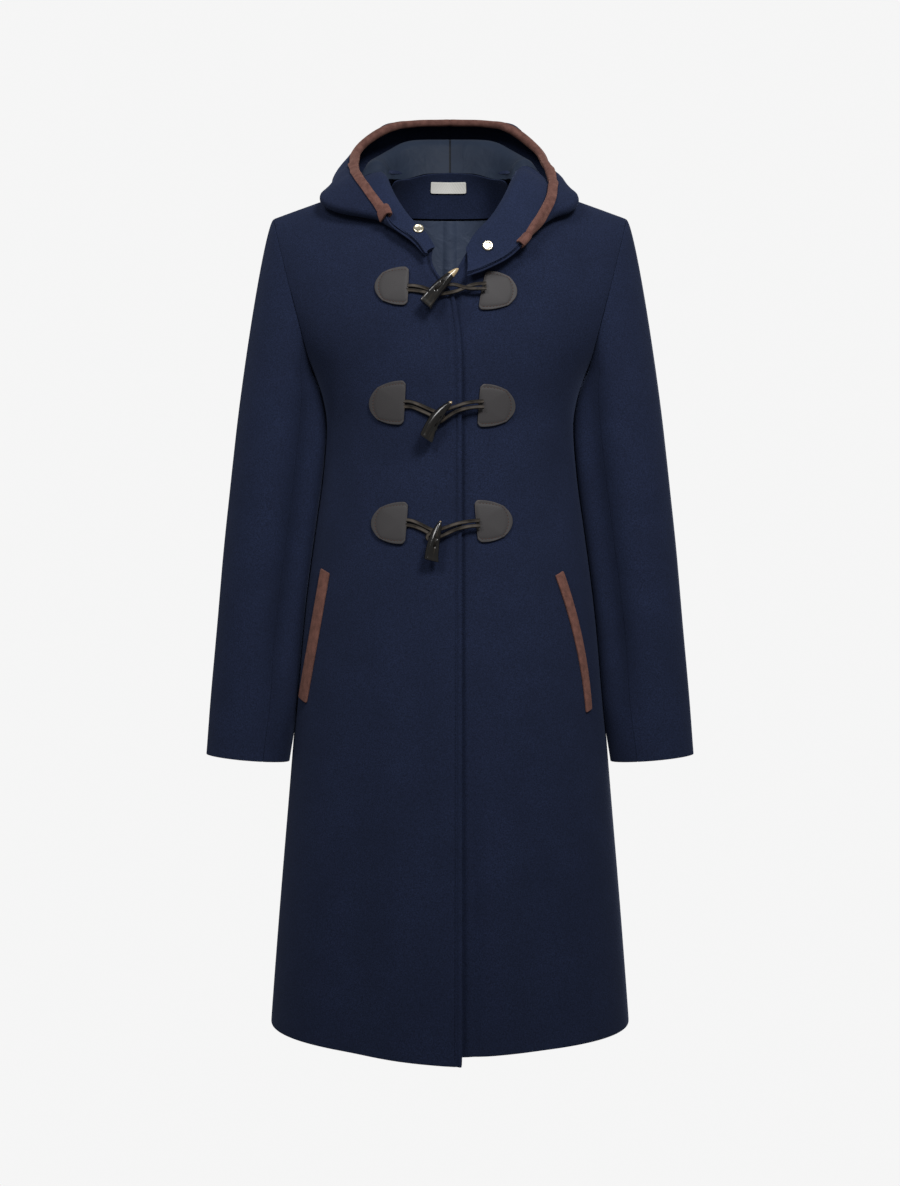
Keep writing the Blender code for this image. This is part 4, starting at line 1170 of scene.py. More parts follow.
def sleeve_place(side, first, last):
    """A sleeve piece between two turns round the arm, v from the armhole to the cuff."""
    def place(u, v):
        turn = mix(first, last, u)
        inward = Vector((-math.cos(turn), math.sin(turn), 0))
        if v < CAP:
            t = v / CAP
            start = armhole(turn)
            end, run = sleeve_ring(turn, 0.0)
            pit = (1 - math.cos(turn)) / 2
            span = (end - start).length
            out, ahead, down = ALONG_SHOULDER
            along_shoulder = Vector((out, ahead * math.sin(turn), down)) * SHOULDER_PULL
            down_side = Vector(DOWN_SIDE) * SIDE_PULL * span
            leave = along_shoulder.lerp(down_side, pit)
            arrive = run * span
            point = (start * (2 * t**3 - 3 * t**2 + 1) + leave * (t**3 - 2 * t**2 + t)
                     + end * (3 * t**2 - 2 * t**3) + arrive * (t**3 - t**2))
        else:
            point, run = sleeve_ring(turn, (v - CAP) / (1 - CAP))
        trough = bell(turn - CREASE_TURN, CREASE_WIDTH)
        trough *= ease((CREASE_TOP - point.z) / (CREASE_TOP - CREASE_FULL))
        trough *= ease((point.z - CREASE_FOOT) / (CREASE_FADES - CREASE_FOOT))
        point = point + CREASE_WAY * CREASE_DEPTH * trough
        point = point + inward * arm_creases(turn, point.z)
        if math.cos(turn) < 0:
            point.x += read(LEANING, point.z)[0] * math.cos(turn)
        if point.z > PIT_Z:
            point.x = max(point.x, arm_x(point.z) + SEAM / 2)
        near = mix(SEAM / 2, ARM_GAP, ease((PIT_Z - point.z) / 0.03))
        point = clear_of_side(point, near)
        return Vector((side * point.x, point.y, point.z))

    return place


print("cuff hangs at z =", round(sleeve_place(LEFT, 0.0, 1.0)(0.0, 1.0).z, 3))

# %% Build the sleeves
gap = SLEEVE_GAP / SLEEVE_RADIUS
around = math.pi - UNDER_HALF_TURN
# name, first and last turn, columns and flat cut of each piece
SLEEVE_PARTS = (
    ("top", -around + gap, around - gap, 30, (0.27, 0.66)),
    ("under", around + gap, 2 * math.pi - around - gap, 16, (0.15, 0.50)),
)
for side, name in SIDE_NAMES.items():
    for part, first, last, columns, flat in SLEEVE_PARTS:
        sheet = cloth_grid(sleeve_place(side, first, last), edged(columns, 0.006),
                           edged(84, 0.003))
        sew_sheet(f"coat_sleeve_{part}_{name}", sheet, (-WOOL, 0.0, side, 0.35 * MM),
                  coating_wool, f"sleeve_{part}_{name}", "coating_wool", flat=flat,
                  held="hung", rests_on=[f"coat_front_{name}", "coat_back"])

# %% [markdown]
# ## The hood
#
# The hood is down.  Its cloth leaves the neck seam, rolls over, drops behind the back as a
# bag and comes up again to its rim; in front it lies on the shoulders and ends at the neck
# of each front.  Its section is drawn like a belt over two round bars, the roll and the
# fold, and swept round the neck seam.

# %% Measures of the hood
# station, turn from straight back, roll out, up and radius, fold out, up and radius, rim
# out and up, all from the neck seam
HOOD_BACK = (
    (0.00, 0, 0.018, 0.026, 0.011, 0.064, -0.130, 0.024, 0.086, 0.0800),
    (0.15, 20, 0.018, 0.026, 0.011, 0.065, -0.120, 0.024, 0.084, 0.0770),
    (0.30, 38, 0.018, 0.025, 0.011, 0.067, -0.090, 0.020, 0.072, 0.0640),
    (0.40, 52, 0.018, 0.018, 0.011, 0.062, -0.055, 0.015, 0.067, 0.0440),
    (0.50, 72, 0.019, 0.008, 0.010, 0.051, -0.026, 0.010, 0.052, 0.0230),
    (0.62, 92, 0.016, 0.004, 0.010, 0.068, -0.006, 0.008, 0.046, 0.0160),
)
# station, x and z of the place where the fold rests, fold radius, roll reach, height and
# radius, rim reach and height from the neck seam and the line to that place
HOOD_FRONT = {
    LEFT: (
        (0.50, 0.1390, -0.0250, 0.0080, 0.0100, 0.0040, 0.0080, 0.0470, 0.0230),
        (0.60, 0.1395, -0.0355, 0.0070, 0.0100, 0.0040, 0.0080, 0.0480, 0.0190),
        (0.68, 0.1300, -0.0450, 0.0070, 0.0100, 0.0030, 0.0080, 0.0500, 0.0185),
        (0.76, 0.1110, -0.0540, 0.0064, 0.0090, 0.0010, 0.0070, 0.0500, 0.0180),
        (0.84, 0.0883, -0.0724, 0.0062, 0.0080, -0.0010, 0.0060, 0.0503, 0.0100),
        (0.92, 0.0617, -0.0954, 0.0062, 0.0070, -0.0020, 0.0050, 0.0448, 0.0088),
        (0.96, 0.0416, -0.1087, 0.0062, 0.0060, -0.0020, 0.0040, 0.0368, 0.0088),
        (1.00, 0.0190, -0.1175, 0.0062, 0.0050, -0.0020, 0.0030, 0.0310, 0.0088),
    ),
    RIGHT: (
        (0.50, 0.1390, -0.0250, 0.0080, 0.0080, 0.0030, 0.0070, 0.0350, 0.0225),
        (0.60, 0.1395, -0.0355, 0.0070, 0.0080, 0.0010, 0.0060, 0.0260, 0.0225),
        (0.68, 0.1200, -0.0460, 0.0065, 0.0070, 0.0000, 0.0055, 0.0220, 0.0215),
        (0.76, 0.0900, -0.0540, 0.0064, 0.0060, -0.0010, 0.0045, 0.0225, 0.0185),
        (0.80, 0.0763, -0.0581, 0.0062, 0.0050, -0.0010, 0.0040, 0.0260, 0.0150),
        (0.84, 0.0652, -0.0655, 0.0068, 0.0035, -0.0010, 0.0030, 0.0278, 0.0108),
        (0.92, 0.0398, -0.0801, 0.0070, 0.0025, -0.0010, 0.0020, 0.0200, 0.0098),
        (1.00, 0.0250, -0.0988, 0.0062, 0.0025, -0.0015, 0.0020, 0.0155, 0.0085),
    ),
}
HOOD_TURNS_FROM, HOOD_TURNS_TO = 0.50, 0.62
HOOD_SHARES = (0.0, 1 / 15, 4 / 15, 7 / 15, 11 / 15, 1.0)
HOOD_BULGE = {LEFT: 0.016, RIGHT: 0.026}
BULGE_AT, BULGE_REACH = 0.46, 0.12
# The rim behind the neck leans forward as a small roof: how far, how much higher its
# bend lies, how much lower its edge, and the share of the wall where it bends.
ROOF_REACH, ROOF_RISE, ROOF_DROP, ROOF_BEND = 0.033, 0.028, 0.008, 0.80
ROOF_FADES, ROOF_END = 0.28, 0.50               # the stations where the roof runs out
HOOD_GAP, REST_GAP, PLY_GAP = 1.0 * MM, 4.5 * MM, 0.8 * MM
FIRST_STATION = 0.004      # beside the middle, where each half still has a way of its own
# the cloth behind the rim's upper corners lies this far in and down, round this station
# and share of the way to the rim, over these widths
TUCK_IN, TUCK_DOWN = 9.5 * MM, 5.0 * MM
TUCK_STATION, TUCK_SHARE, TUCK_WIDTHS = 0.34, 0.95, (0.075, 0.035)
SHIFT_FROM = 0.45          # the share of the way to the rim where the cloth begins to shift
# station, how far the rim of each side then lies out and up from the even sweep
RIM_SHIFT = {
    LEFT: (
        (0.00, 0.0000, 0.0008), (0.08, 0.0000, 0.0011), (0.16, 0.0000, 0.0016),
        (0.20, 0.0000, 0.0025), (0.24, 0.0002, 0.0044), (0.28, 0.0015, 0.0062),
        (0.32, 0.0032, 0.0075), (0.36, 0.0040, 0.0067), (0.40, 0.0029, 0.0037),
        (0.44, 0.0005, 0.0009), (0.48, -0.0029, -0.0010), (0.52, -0.0041, -0.0016),
        (0.56, -0.0025, -0.0015), (0.60, 0.0010, -0.0006), (0.64, -0.0018, 0.0003),
        (0.68, -0.0021, 0.0001), (0.72, -0.0028, 0.0009), (0.76, -0.0023, 0.0020),
        (0.80, -0.0019, 0.0027), (0.84, -0.0010, 0.0025), (0.88, 0.0021, -0.0024),
        (0.92, 0.0022, -0.0043), (0.96, -0.0003, -0.0043), (1.00, -0.0015, -0.0060),
    ),
    RIGHT: (
        (0.00, 0.0000, 0.0008), (0.08, 0.0000, 0.0011), (0.16, 0.0000, 0.0017),
        (0.20, 0.0000, 0.0027), (0.24, 0.0002, 0.0047), (0.28, 0.0022, 0.0068),
        (0.32, 0.0035, 0.0093), (0.36, 0.0046, 0.0106), (0.40, 0.0057, 0.0076),
        (0.44, 0.0041, 0.0022), (0.48, -0.0018, 0.0002), (0.52, -0.0040, 0.0001),
        (0.56, -0.0007, 0.0000), (0.60, 0.0075, -0.0004), (0.64, 0.0080, -0.0004),
        (0.68, 0.0087, 0.0003), (0.72, 0.0056, 0.0008), (0.76, 0.0020, 0.0012),
        (0.80, -0.0035, 0.0010), (0.84, -0.0035, -0.0025), (0.92, -0.0010, -0.0085),
        (1.00, 0.0000, -0.0088),
    ),
}
print("rows for the hood:", len(HOOD_BACK), "behind and", len(HOOD_FRONT[LEFT]), "in front")

# %% Section of the hood


def turned(angle):
    """A way of length 1 in the section's plane."""
    return Vector((math.cos(angle), math.sin(angle)))


def belt(roll, roll_radius, fold, fold_radius, rim):
    """The angles where the cloth meets and leaves the roll and the fold."""
    to_roll = -roll
    first = math.atan2(to_roll.y, to_roll.x) % (2 * math.pi)
    first -= math.acos(min(roll_radius / to_roll.length, 1.0))
    between = fold - roll
    cross = math.atan2(between.y, between.x)
    cross += math.acos(min((roll_radius + fold_radius) / between.length, 1.0))
    to_rim = rim - fold
    last = math.atan2(to_rim.y, to_rim.x)
    last -= math.acos(min(fold_radius / to_rim.length, 1.0))
    return first, min(cross, first), cross - math.pi, max(last, cross - math.pi)


def belt_point(row, v):
    """A point of the hood's section, out and up from the neck seam."""
    roll, roll_radius = Vector(row[0:2]), row[2]
    fold, fold_radius = Vector(row[3:5]), row[5]
    rim = Vector(row[6:8])
    on_roll, off_roll, on_fold, off_fold = belt(roll, roll_radius, fold, fold_radius, rim)
    stretch = max(index for index in range(5) if HOOD_SHARES[index] <= v + 1e-9)
    start, end = HOOD_SHARES[stretch:stretch + 2]
    t = min((v - start) / (end - start), 1.0)
    if stretch == 0:
        return (roll + turned(on_roll) * roll_radius) * t
    if stretch == 1:
        return roll + turned(mix(on_roll, off_roll, t)) * roll_radius
    if stretch == 2:
        leave = roll + turned(off_roll) * roll_radius
        return leave.lerp(fold + turned(on_fold) * fold_radius, t)
    if stretch == 3:
        return fold + turned(mix(on_fold, off_fold, t)) * fold_radius
    return (fold + turned(off_fold) * fold_radius).lerp(rim, t)


bag = belt_point(HOOD_BACK[0][2:], HOOD_SHARES[3])
print("bag hangs", round(-bag.y, 3), "m below the neck seam")

# %% [markdown]
# Behind the neck the section stands in planes that turn round with the seam.  On the
# shoulders and fronts it lies between the neck seam and the place where the fold rests.

# %% Surface of the hood


def neck_point(side, station):
    """A point of the neck seam."""
    x, z = read(NECK, station)
    way = -1 if station > RIDGE else 1
    y = body_y(x, z, way) if way > 0 else front_y(side, x, z)
    if abs(station - RIDGE) < 1e-6:
        y = 0.0
    return Vector((side * x, y, z))


def hanging_point(side, station, v):
    """A point of the hood's outer face where it hangs behind the neck."""
    turn, *row = read(HOOD_BACK, station)
    turn = math.radians(turn)
    out = Vector((side * math.sin(turn), math.cos(turn), 0))
    reach, rise = belt_point(row, v)
    outer = max(v - HOOD_SHARES[4], 0.0) / (1 - HOOD_SHARES[4])
    bulge = HOOD_BULGE[side] * bell(station - BULGE_AT, BULGE_REACH)
    reach += bulge * math.sin(math.pi * outer) ** 2
    over = max(outer - ROOF_BEND, 0.0) / (1 - ROOF_BEND)
    bend = outer / ROOF_BEND if over == 0 else 1 + over
    up = math.sin(math.pi / 2 * bend)
    roof = 1 - ease((station - ROOF_FADES) / (ROOF_END - ROOF_FADES))
    reach -= roof * ROOF_REACH * over**1.5
    rise += roof * (ROOF_RISE * up - ROOF_DROP * over)
    return neck_point(side, station) + out * reach + Vector((0, 0, rise + HOOD_GAP))


def lying_point(side, station, v):
    """A point of the hood's outer face where it lies on the shoulder and the front."""
    x, z, fold_radius, *roll, rim_reach, rim_height = read(HOOD_FRONT[side], station)
    start = neck_point(side, station)
    rest = on_front(side, x, z, REST_GAP)
    normal = (rest - on_front(side, x, z, 0.0)).normalized()
    along = (rest - start).normalized()
    off = (normal - along * normal.dot(along)).normalized()
    fold = ((rest - start).length, fold_radius, fold_radius)
    reach, height = belt_point((*roll[0:2], roll[2], *fold, rim_reach, rim_height), v)
    return start + along * reach + off * (height + HOOD_GAP)


def swept_point(side, station, v):
    """A point of the hood's even sweep, where the hanging part passes to the lying one."""
    lying = ease((station - HOOD_TURNS_FROM) / (HOOD_TURNS_TO - HOOD_TURNS_FROM))
    if lying == 0:
        return hanging_point(side, station, v)
    if lying == 1:
        return lying_point(side, station, v)
    return hanging_point(side, station, v).lerp(lying_point(side, station, v), lying)


def hood_surface(side):
    """The outer face of one half of the hood: u from centre back to front, v to the rim."""
    def place(u, v):
        station = mix(FIRST_STATION, 1.0, u)
        point = swept_point(side, station, v)
        if v > SHIFT_FROM:
            share = ease((v - SHIFT_FROM) / (1 - SHIFT_FROM))
            out, up = read(RIM_SHIFT[side], station)
            point += Vector((side * out, 0.0, up)) * share
            tuck = bell(station - TUCK_STATION, TUCK_WIDTHS[0])
            tuck *= bell(v - TUCK_SHARE, TUCK_WIDTHS[1])
            point -= Vector((side * TUCK_IN, 0.0, TUCK_DOWN)) * tuck
            if station > HOOD_TURNS_TO:
                rest = on_front(side, abs(point.x), point.z, HOOD_GAP)
                point.y = min(point.y, rest.y)
        return point

    return place


print("rim behind the neck:", [round(part, 3) for part in hood_surface(LEFT)(0.0, 1.0)])

# %% [markdown]
# The hood has three layers.  The wool shell is outside.  Inside, a wide strip of the same
# wool faces the rim and the front corners, and satin lines the rest.  The line where
# facing and lining meet runs along the rim and then drops to the neck seam.

# %% Shell, facing and lining
# station, share of the way from the neck seam to the rim where the lining ends
LINING_LINE = (
    (0.00, 0.867), (0.30, 0.867), (0.42, 0.800), (0.50, 0.700), (0.555, 0.450),
    (0.59, 0.200), (0.62, 0.020),
)
INNER = WOOL + PLY_GAP     # from the outer face of the shell to the inner layers
# where the lining ends along the neck seam, and how far it reaches below that seam
LINING_END = {LEFT: 0.590, RIGHT: 0.620}
LINING_BELOW, LINING_DEEP = 5.0 * MM, 7.0 * MM
# where it goes from the one depth to the other, the rows and the stations where it fades
DEEP_FROM, DEEP_OVER = 0.025, 0.035
LOW_ROWS, LOW_END, LOW_FADE = 0.08, 0.60, 0.06
SEAM_DENT = 1.2 * MM       # how far the satin sinks into its middle seam


def lining_edge(side, u):
    """The share of the way to the rim where the lining of one side ends."""
    u *= LINING_LINE[-1][0] / LINING_END[side]
    return read(LINING_LINE, u)[0] if u < LINING_LINE[-1][0] else 0.0


def facing_place(side):
    """The facing of one side: v from the line of the lining to the rim."""
    surface = hood_surface(side)

    def place(u, v):
        below = lining_edge(side, u) + (0.003 if u < LINING_END[side] else 0.0)
        return surface(u, mix(below, 1.0, v))

    return place


def lining_place(side):
    """The lining of one side; behind the neck it sags below the neck seam."""
    surface = hood_surface(side)

    def place(u, v):
        u *= LINING_END[side]
        point = surface(u, lining_edge(side, u) * v)
        low = ease(1 - v / LOW_ROWS) * ease((LOW_END - u) / LOW_FADE)
        deep = mix(LINING_BELOW, LINING_DEEP, ease((abs(point.x) - DEEP_FROM) / DEEP_OVER))
        seam = SEAM_DENT * ease(1 - u / 0.010) * ease((v - 0.1) / 0.1)
        return point + Vector((0, seam, -deep * low))

    return place


HOOD_LINES = [0.0, 0.006] + [mix(0.020, 1.0, share) for share in even(58)]
SHELL_LINES = [mix(0.0, 0.90, share) for share in even(38)] + [
    mix(0.91, 1.0, share) for share in even(12)]
SATIN_LINES = [0.0, 0.005, 0.011] + even(40)[1:]
for side, name in SIDE_NAMES.items():
    shell = cloth_grid(hood_surface(side), HOOD_LINES, SHELL_LINES)
    sew_sheet(f"coat_hood_{name}", shell, (0.0, WOOL, side, 0.8 * MM), coating_wool,
              f"hood_shell_{name}", "coating_wool", mirrored=True, flat=(0.33, 0.40),
              held="draped", rests_on=["coat_back"])
    face = cloth_grid(facing_place(side), HOOD_LINES, even(24))
    sew_sheet(f"coat_hood_facing_{name}", face, (INNER, INNER + FACING, side, 0.4 * MM),
              facing_wool, f"hood_facing_{name}", "facing_wool", mirrored=True,
              flat=(0.18, 0.42), held="draped", rests_on=[f"coat_hood_{name}"])
    satin = cloth_grid(lining_place(side), SATIN_LINES, even(40))
    sew_sheet(f"coat_hood_lining_{name}", satin, (INNER, INNER + LINING, side, 0.3 * MM),
              hood_satin_painted_shade, f"hood_lining_{name}", "lining_satin", mirrored=True,
              flat=(0.24, 0.32), held="draped", rests_on=[f"coat_hood_{name}"])

# %% [markdown]
# ## The binding of the hood
#
# A strip of suede folds round the raw rim and covers both layers.  It is swept as a flat
# strip whose section goes from the facing over the rim to the shell.  At each front end it
# stops short of the corner, and its end is folded under into a small square tab.

# %% Tape round the rim
TAPE = 1.0 * MM
# width on each face, stand off the cloth, and how far the strip runs over the rim
BINDING_WIDE, BINDING_GAP, BINDING_OVER = 8.0 * MM, 0.9 * MM, 0.4 * MM
TAB_WIDE, TAB_GAP, TAB_OVER = 9.0 * MM, 1.7 * MM, 3.5 * MM
BINDING_END = {LEFT: 0.874, RIGHT: 0.800}       # the station where the tape stops
BINDING_TURNS = even(10)
TURN_FROM, TURN_TO = 0.3, 0.7                   # the lines of the strip that round the rim
# its width against the full one: behind the neck, on the shoulders, and less near its end
TAPE_PULLED, TAPE_FULL, TAPE_LESS = 0.62, 1.08, 0.13
OUTER = INNER + FACING     # through all the layers of the rim


def from_rim(place, u, distance):
    """The v that lies this far from the rim, measured along the cloth."""
    v, step, walked = 1.0, 0.01, 0.0
    here = place(u, v)
    while walked < distance and v > step:
        v -= step
        there = place(u, v)
        last = (there - here).length
        walked += last
        here = there
    return v + step * (walked - distance) / last


def binding_place(side, first, last, wide, gap, over):
    """A tape round the rim between two stations, v from the facing over it to the shell."""
    surface = hood_surface(side)
    place = standing(surface, side)
    middle = OUTER / 2
    half = middle + gap

    def tape(u, v):
        u = mix(first, last, u)
        narrow = mix(TAPE_PULLED, TAPE_FULL, ease((u - 0.15) / 0.25))
        narrow -= TAPE_LESS * ease((u - 0.62) / 0.15)
        if TURN_FROM <= v <= TURN_TO:
            turn = mix(math.pi / 2, -math.pi / 2, (v - TURN_FROM) / (TURN_TO - TURN_FROM))
            run = (surface(u, 1.0) - surface(u, 0.98)).normalized()
            height = middle + half * math.sin(turn)
            return place(u, 1.0, height) + run * (over + half * 0.55 * math.cos(turn))
        inset = wide * narrow * (TURN_FROM - min(v, 1 - v)) / TURN_FROM
        height = middle + half * (1 if v < 0.5 else -1)
        return place(u, from_rim(surface, u, inset), height)

    return tape


for side, name in SIDE_NAMES.items():
    end = BINDING_END[side]
    tape = cloth_grid(binding_place(side, 0.0, end, BINDING_WIDE, BINDING_GAP,
                                    BINDING_OVER), even(72), BINDING_TURNS)
    make_wall(tape, 0.0, TAPE, side, 0.3 * MM, mirrored=True)
    to_piece(f"hood_tape_{name}", tape, binding_suede, [f"hood_binding_{name}"])
    tab = cloth_grid(binding_place(side, end - 0.006, end + 0.020, TAB_WIDE, TAB_GAP,
                                   TAB_OVER), even(6), BINDING_TURNS)
    make_wall(tab, -1.4 * MM, 1.3 * MM, side, 0.5 * MM)
    to_piece(f"hood_tape_tab_{name}", tab, binding_suede, ())
    print("tape", name, "ends at station", end)

# %% [markdown]
# ## Inside the neck
#
# Behind the neck a wool facing covers the seam, and below it hangs the satin back lining
# with a pleat down its middle, which gives the shoulders room to move.  A plain woven
# label is sewn on the facing.

# %% Neck facing, back lining and label
# how far the lining hangs off the wool, the facing off the lining's plane and the label
# off the facing, and how thick the label is
LOOSE, FACING_OFF, LABEL_OFF, LABEL_THICK = 3.0 * MM, 1.7 * MM, 0.8 * MM, 0.6 * MM
NECK_FACING_HALF, NECK_FACING_END = 0.082, -0.0205
BACK_LINING_END, BACK_LINING_HALF, BACK_LINING_TURN = -0.330, 0.19, math.radians(57)
PLEAT, PLEAT_WIDE = 4.0 * MM, 5.0 * MM
LABEL_HALF, LABEL_TOP, LABEL_TALL, LABEL_X = 0.0236, 0.0225, 0.0130, -0.0020


def back_top(x, below):
    """The highest level for something inside the back at x."""
    if abs(x) < NECK_HALF:
        return read(tuple((row[1], row[2]) for row in NECK[:5]), abs(x))[0]
    return ridge_z(x, 1) - below


def neck_facing_place(u, v):
    """The facing behind the neck: u across it, v up to the neck seam."""
    x = mix(NECK_FACING_HALF, -NECK_FACING_HALF, u)
    return body_point(x, mix(NECK_FACING_END, back_top(x, 0.004), v), 1)


def back_lining_place(u, v):
    """The back lining, whose lines lie closer together round the pleat in its middle."""
    out = 1 - 2 * u
    turn = math.copysign(abs(out) ** 1.5, out) * BACK_LINING_TURN
    top_x = BACK_LINING_HALF * math.sin(turn)
    top_z = min(NECK_FACING_END - 2.5 * MM, ridge_z(top_x, 1) - 0.016)
    z = mix(BACK_LINING_END, top_z, v)
    x = min(read(LEVELS, z)[0], BACK_LINING_HALF) * math.sin(turn)
    pleat = PLEAT * bell(x, PLEAT_WIDE)
    return body_point(x, z, 1, -pleat)


def label_place(u, v):
    """The label on the facing."""
    x = LABEL_X + mix(LABEL_HALF, -LABEL_HALF, u)
    return body_point(x, LABEL_TOP - LABEL_TALL * (1 - v), 1)


near = LOOSE + WOOL
sew_sheet("coat_lining_back", cloth_grid(back_lining_place, even(96), even(40)),
          (-near - LINING, -near, 1, 0.3 * MM), lining_satin, "lining_back", "lining_satin",
          flat=(0.36, 0.36), held="hung", rests_on=["coat_neck_facing"])
face_near = near + FACING_OFF
label_near = face_near + FACING + LABEL_OFF
label = cloth_grid(label_place, even(16), even(6))
make_wall(label, -label_near - LABEL_THICK, -label_near, 1, 0.2 * MM)
label = to_piece("plain_label", label, woven_label, ["label"])
sew_sheet("coat_neck_facing", cloth_grid(neck_facing_place, even(40), even(12)),
          (-face_near - FACING, -face_near, 1, 0.5 * MM), facing_wool, "neck_facing",
          "facing_wool", flat=(0.19, 0.06), held="hung", rests_on=["coat_back"],
          with_pieces=[label])

# %% [markdown]
# ## Leather patches
#
# Each cord ends under a D of leather, sewn down 3 mm inside its edge.  The D is a square
# grid pushed into shape: its outer half bows to a half ellipse and its straight side keeps
# two soft corners.  The middle is padded by the cord ends below, so it swells slightly.

# %% Place of a patch
TRIM_GAP = 0.6 * MM
LEATHER = 2.2 * MM
# side, x of the straight edge, z of its middle, width, height, lean of the straight edge,
# how far its lower half stands off
PATCHES = (
    (RIGHT, 0.0468, -0.1345, 0.0365, 0.0430, -0.03, 0.2 * MM),
    (LEFT, 0.0360, -0.1390, 0.0385, 0.0440, 0.18, 0.0 * MM),
    (RIGHT, 0.0502, -0.2640, 0.0390, 0.0480, -0.05, 0.5 * MM),
    (LEFT, 0.0325, -0.2670, 0.0395, 0.0470, 0.08, 0.3 * MM),
    (RIGHT, 0.0482, -0.3977, 0.0385, 0.0465, -0.06, 1.1 * MM),
    (LEFT, 0.0295, -0.3955, 0.0395, 0.0465, -0.09, 0.2 * MM),
)
CORNER = 4.5 * MM          # the round corners of the straight edge
DOME = 1.5 * MM            # how far the middle swells
DENT, DENT_AT, DENT_WIDTH = 0.5 * MM, 0.85, 0.05     # the groove of the stitches
STITCH_RIM, STITCH_STRAIGHT = 0.86, 0.45        # how far out the stitches run on each side
RUB_WIDTH = 3.6 * MM       # how far the rubbed rim reaches in


def patch_outline(row, a, b):
    """A point of a patch on the front's face; a and b go from -1 to 1."""
    side, edge_x, middle_z, wide, tall, lean, tilt = row
    if a > 0:
        x, z = a * math.sqrt(1 - b * b / 2) * (wide - CORNER), b * math.sqrt(1 - a * a / 2)
    else:
        x, z = a * (1 - b**4 / 2) ** 0.25 * CORNER, b * (1 - a**4 / 2) ** 0.25
    z *= tall / 2
    x += CORNER
    x += lean * z * (1 - x / wide)
    return edge_x + x, middle_z + z


def patch_place(row):
    """The leather of a patch, which swells towards its middle."""
    def place(u, v):
        a, b = 2 * u - 1, 2 * v - 1
        x, z = patch_outline(row, a, b)
        rim = max(abs(a), abs(b))
        dome = DOME * (1 - rim**2) - DENT * bell(rim - DENT_AT, DENT_WIDTH)
        return on_front(row[0], x, z, dome + row[6] * (1 - b) / 2)

    return place


def round_square(t):
    """A point of the square's outline, once round as t goes from 0 to 1."""
    around = 4 * (t % 1.0)
    stretch, share = int(around), around % 1.0
    return ((share * 2 - 1, -1), (1, share * 2 - 1),
            (1 - share * 2, 1), (-1, 1 - share * 2))[stretch]


def patch_seam(row):
    """The line of stitches inside the edge of a patch."""
    def path(t):
        a, b = round_square(t)
        a, b = (STITCH_STRAIGHT if a < 0 else STITCH_RIM) * a, STITCH_RIM * b
        x, z = patch_outline(row, a, b)
        low, up = seat(lambda stand: on_front(row[0], x, z, stand), 0.0, 1.0 * MM)
        return low + up * (TRIM_GAP + LEATHER + 0.1 * MM + row[6] * (1 - b) / 2), up

    return path


print("patches:", len(PATCHES))

# %% Build the patches and sew them down
PATCH_LINES = [0.0, 0.04, 0.09, 0.16, 0.25, 0.36, 0.5] + [
    mix(0.53, 1.0, share) for share in even(20)]
stitch_count = 0
for index, row in enumerate(PATCHES):
    name = f"{SIDE_NAMES[row[0]]}_{index // 2 + 1}"
    leather = cloth_grid(patch_place(row), PATCH_LINES, even(28))
    make_wall(leather, TRIM_GAP, TRIM_GAP + LEATHER, row[0], 0.7 * MM)
    piece = to_piece(f"leather_patch_{name}", leather, patch_leather, [f"patch_{name}"])
    rims = [on_front(row[0], *patch_outline(row, *round_square(t)), 1.5 * MM)
            for t in even(64)]
    mark(piece, RUB, [
        max(0.0, 1 - min((vert.co - rim).length for rim in rims) / RUB_WIDTH)
        for vert in piece.data.vertices])
    sewing = bmesh.new()
    stitch_count += add_stitches(sewing, patch_seam(row), pitch=3.6 * MM, share=0.6,
                                 thick=0.42 * MM)
    to_piece(f"patch_stitches_{name}", sewing, brown_thread, smoothing=0)
print("stitches on the patches:", stitch_count)

# %% [markdown]
# ## Pocket welts
#
# The mouth of each slanted pocket is bound with the same suede as the hood.  The strip is
# a flat grid on the front; its ends are cut on the slant, and the wearer's left one bows
# and narrows towards its lower end where the pocket bag pulls it.

# %% Build the welts
# side, x and z of the upper end, x and z of the lower end, width at each, and the bow
WELTS = (
    (RIGHT, 0.1400, -0.4500, 0.1660, -0.5970, 9.5 * MM, 9.5 * MM, 0.0),
    (LEFT, 0.1215, -0.4530, 0.1550, -0.6080, 8.5 * MM, 6.0 * MM, 6.0 * MM),
)
WELT_NEAR, WELT_FAR = 0.3 * MM, 2.6 * MM
WELT_SLANT, WELT_SWELL = 0.6, 0.5 * MM


def welt_place(row):
    """The strip of a pocket mouth: u across it, v from its lower to its upper end."""
    side, top_x, top_z, low_x, low_z, top_wide, low_wide, bow = row

    def place(u, v):
        wide = mix(low_wide, top_wide, v)
        x = mix(low_x, top_x, v) + wide * (u - 0.5) + bow * 4 * v * (1 - v)
        z = mix(low_z, top_z, v) + wide * WELT_SLANT * (u - 0.5)
        swell = WELT_SWELL * (1 - (2 * u - 1) ** 2)
        return on_front(side, x, z, swell)

    return place


for row in WELTS:
    name = SIDE_NAMES[row[0]]
    strip = cloth_grid(welt_place(row), even(8), even(60))
    make_wall(strip, WELT_NEAR, WELT_FAR, row[0], 0.6 * MM)
    to_piece(f"pocket_welt_{name}", strip, welt_suede, [f"welt_{name}"])
    print("welt", name, "is", row[5] / MM, "mm wide at its top")

# %% [markdown]
# ## Cords, toggles and snaps
#
# Each toggle hangs in a short loop of leather lace on the wearer's right, and a longer
# loop from the left goes round it.  The lace is a flat strip with rubbed, lighter edges and
# a darker middle, which is painted shade of its fold; it twists as it runs, so it is swept
# with an oval section that turns.

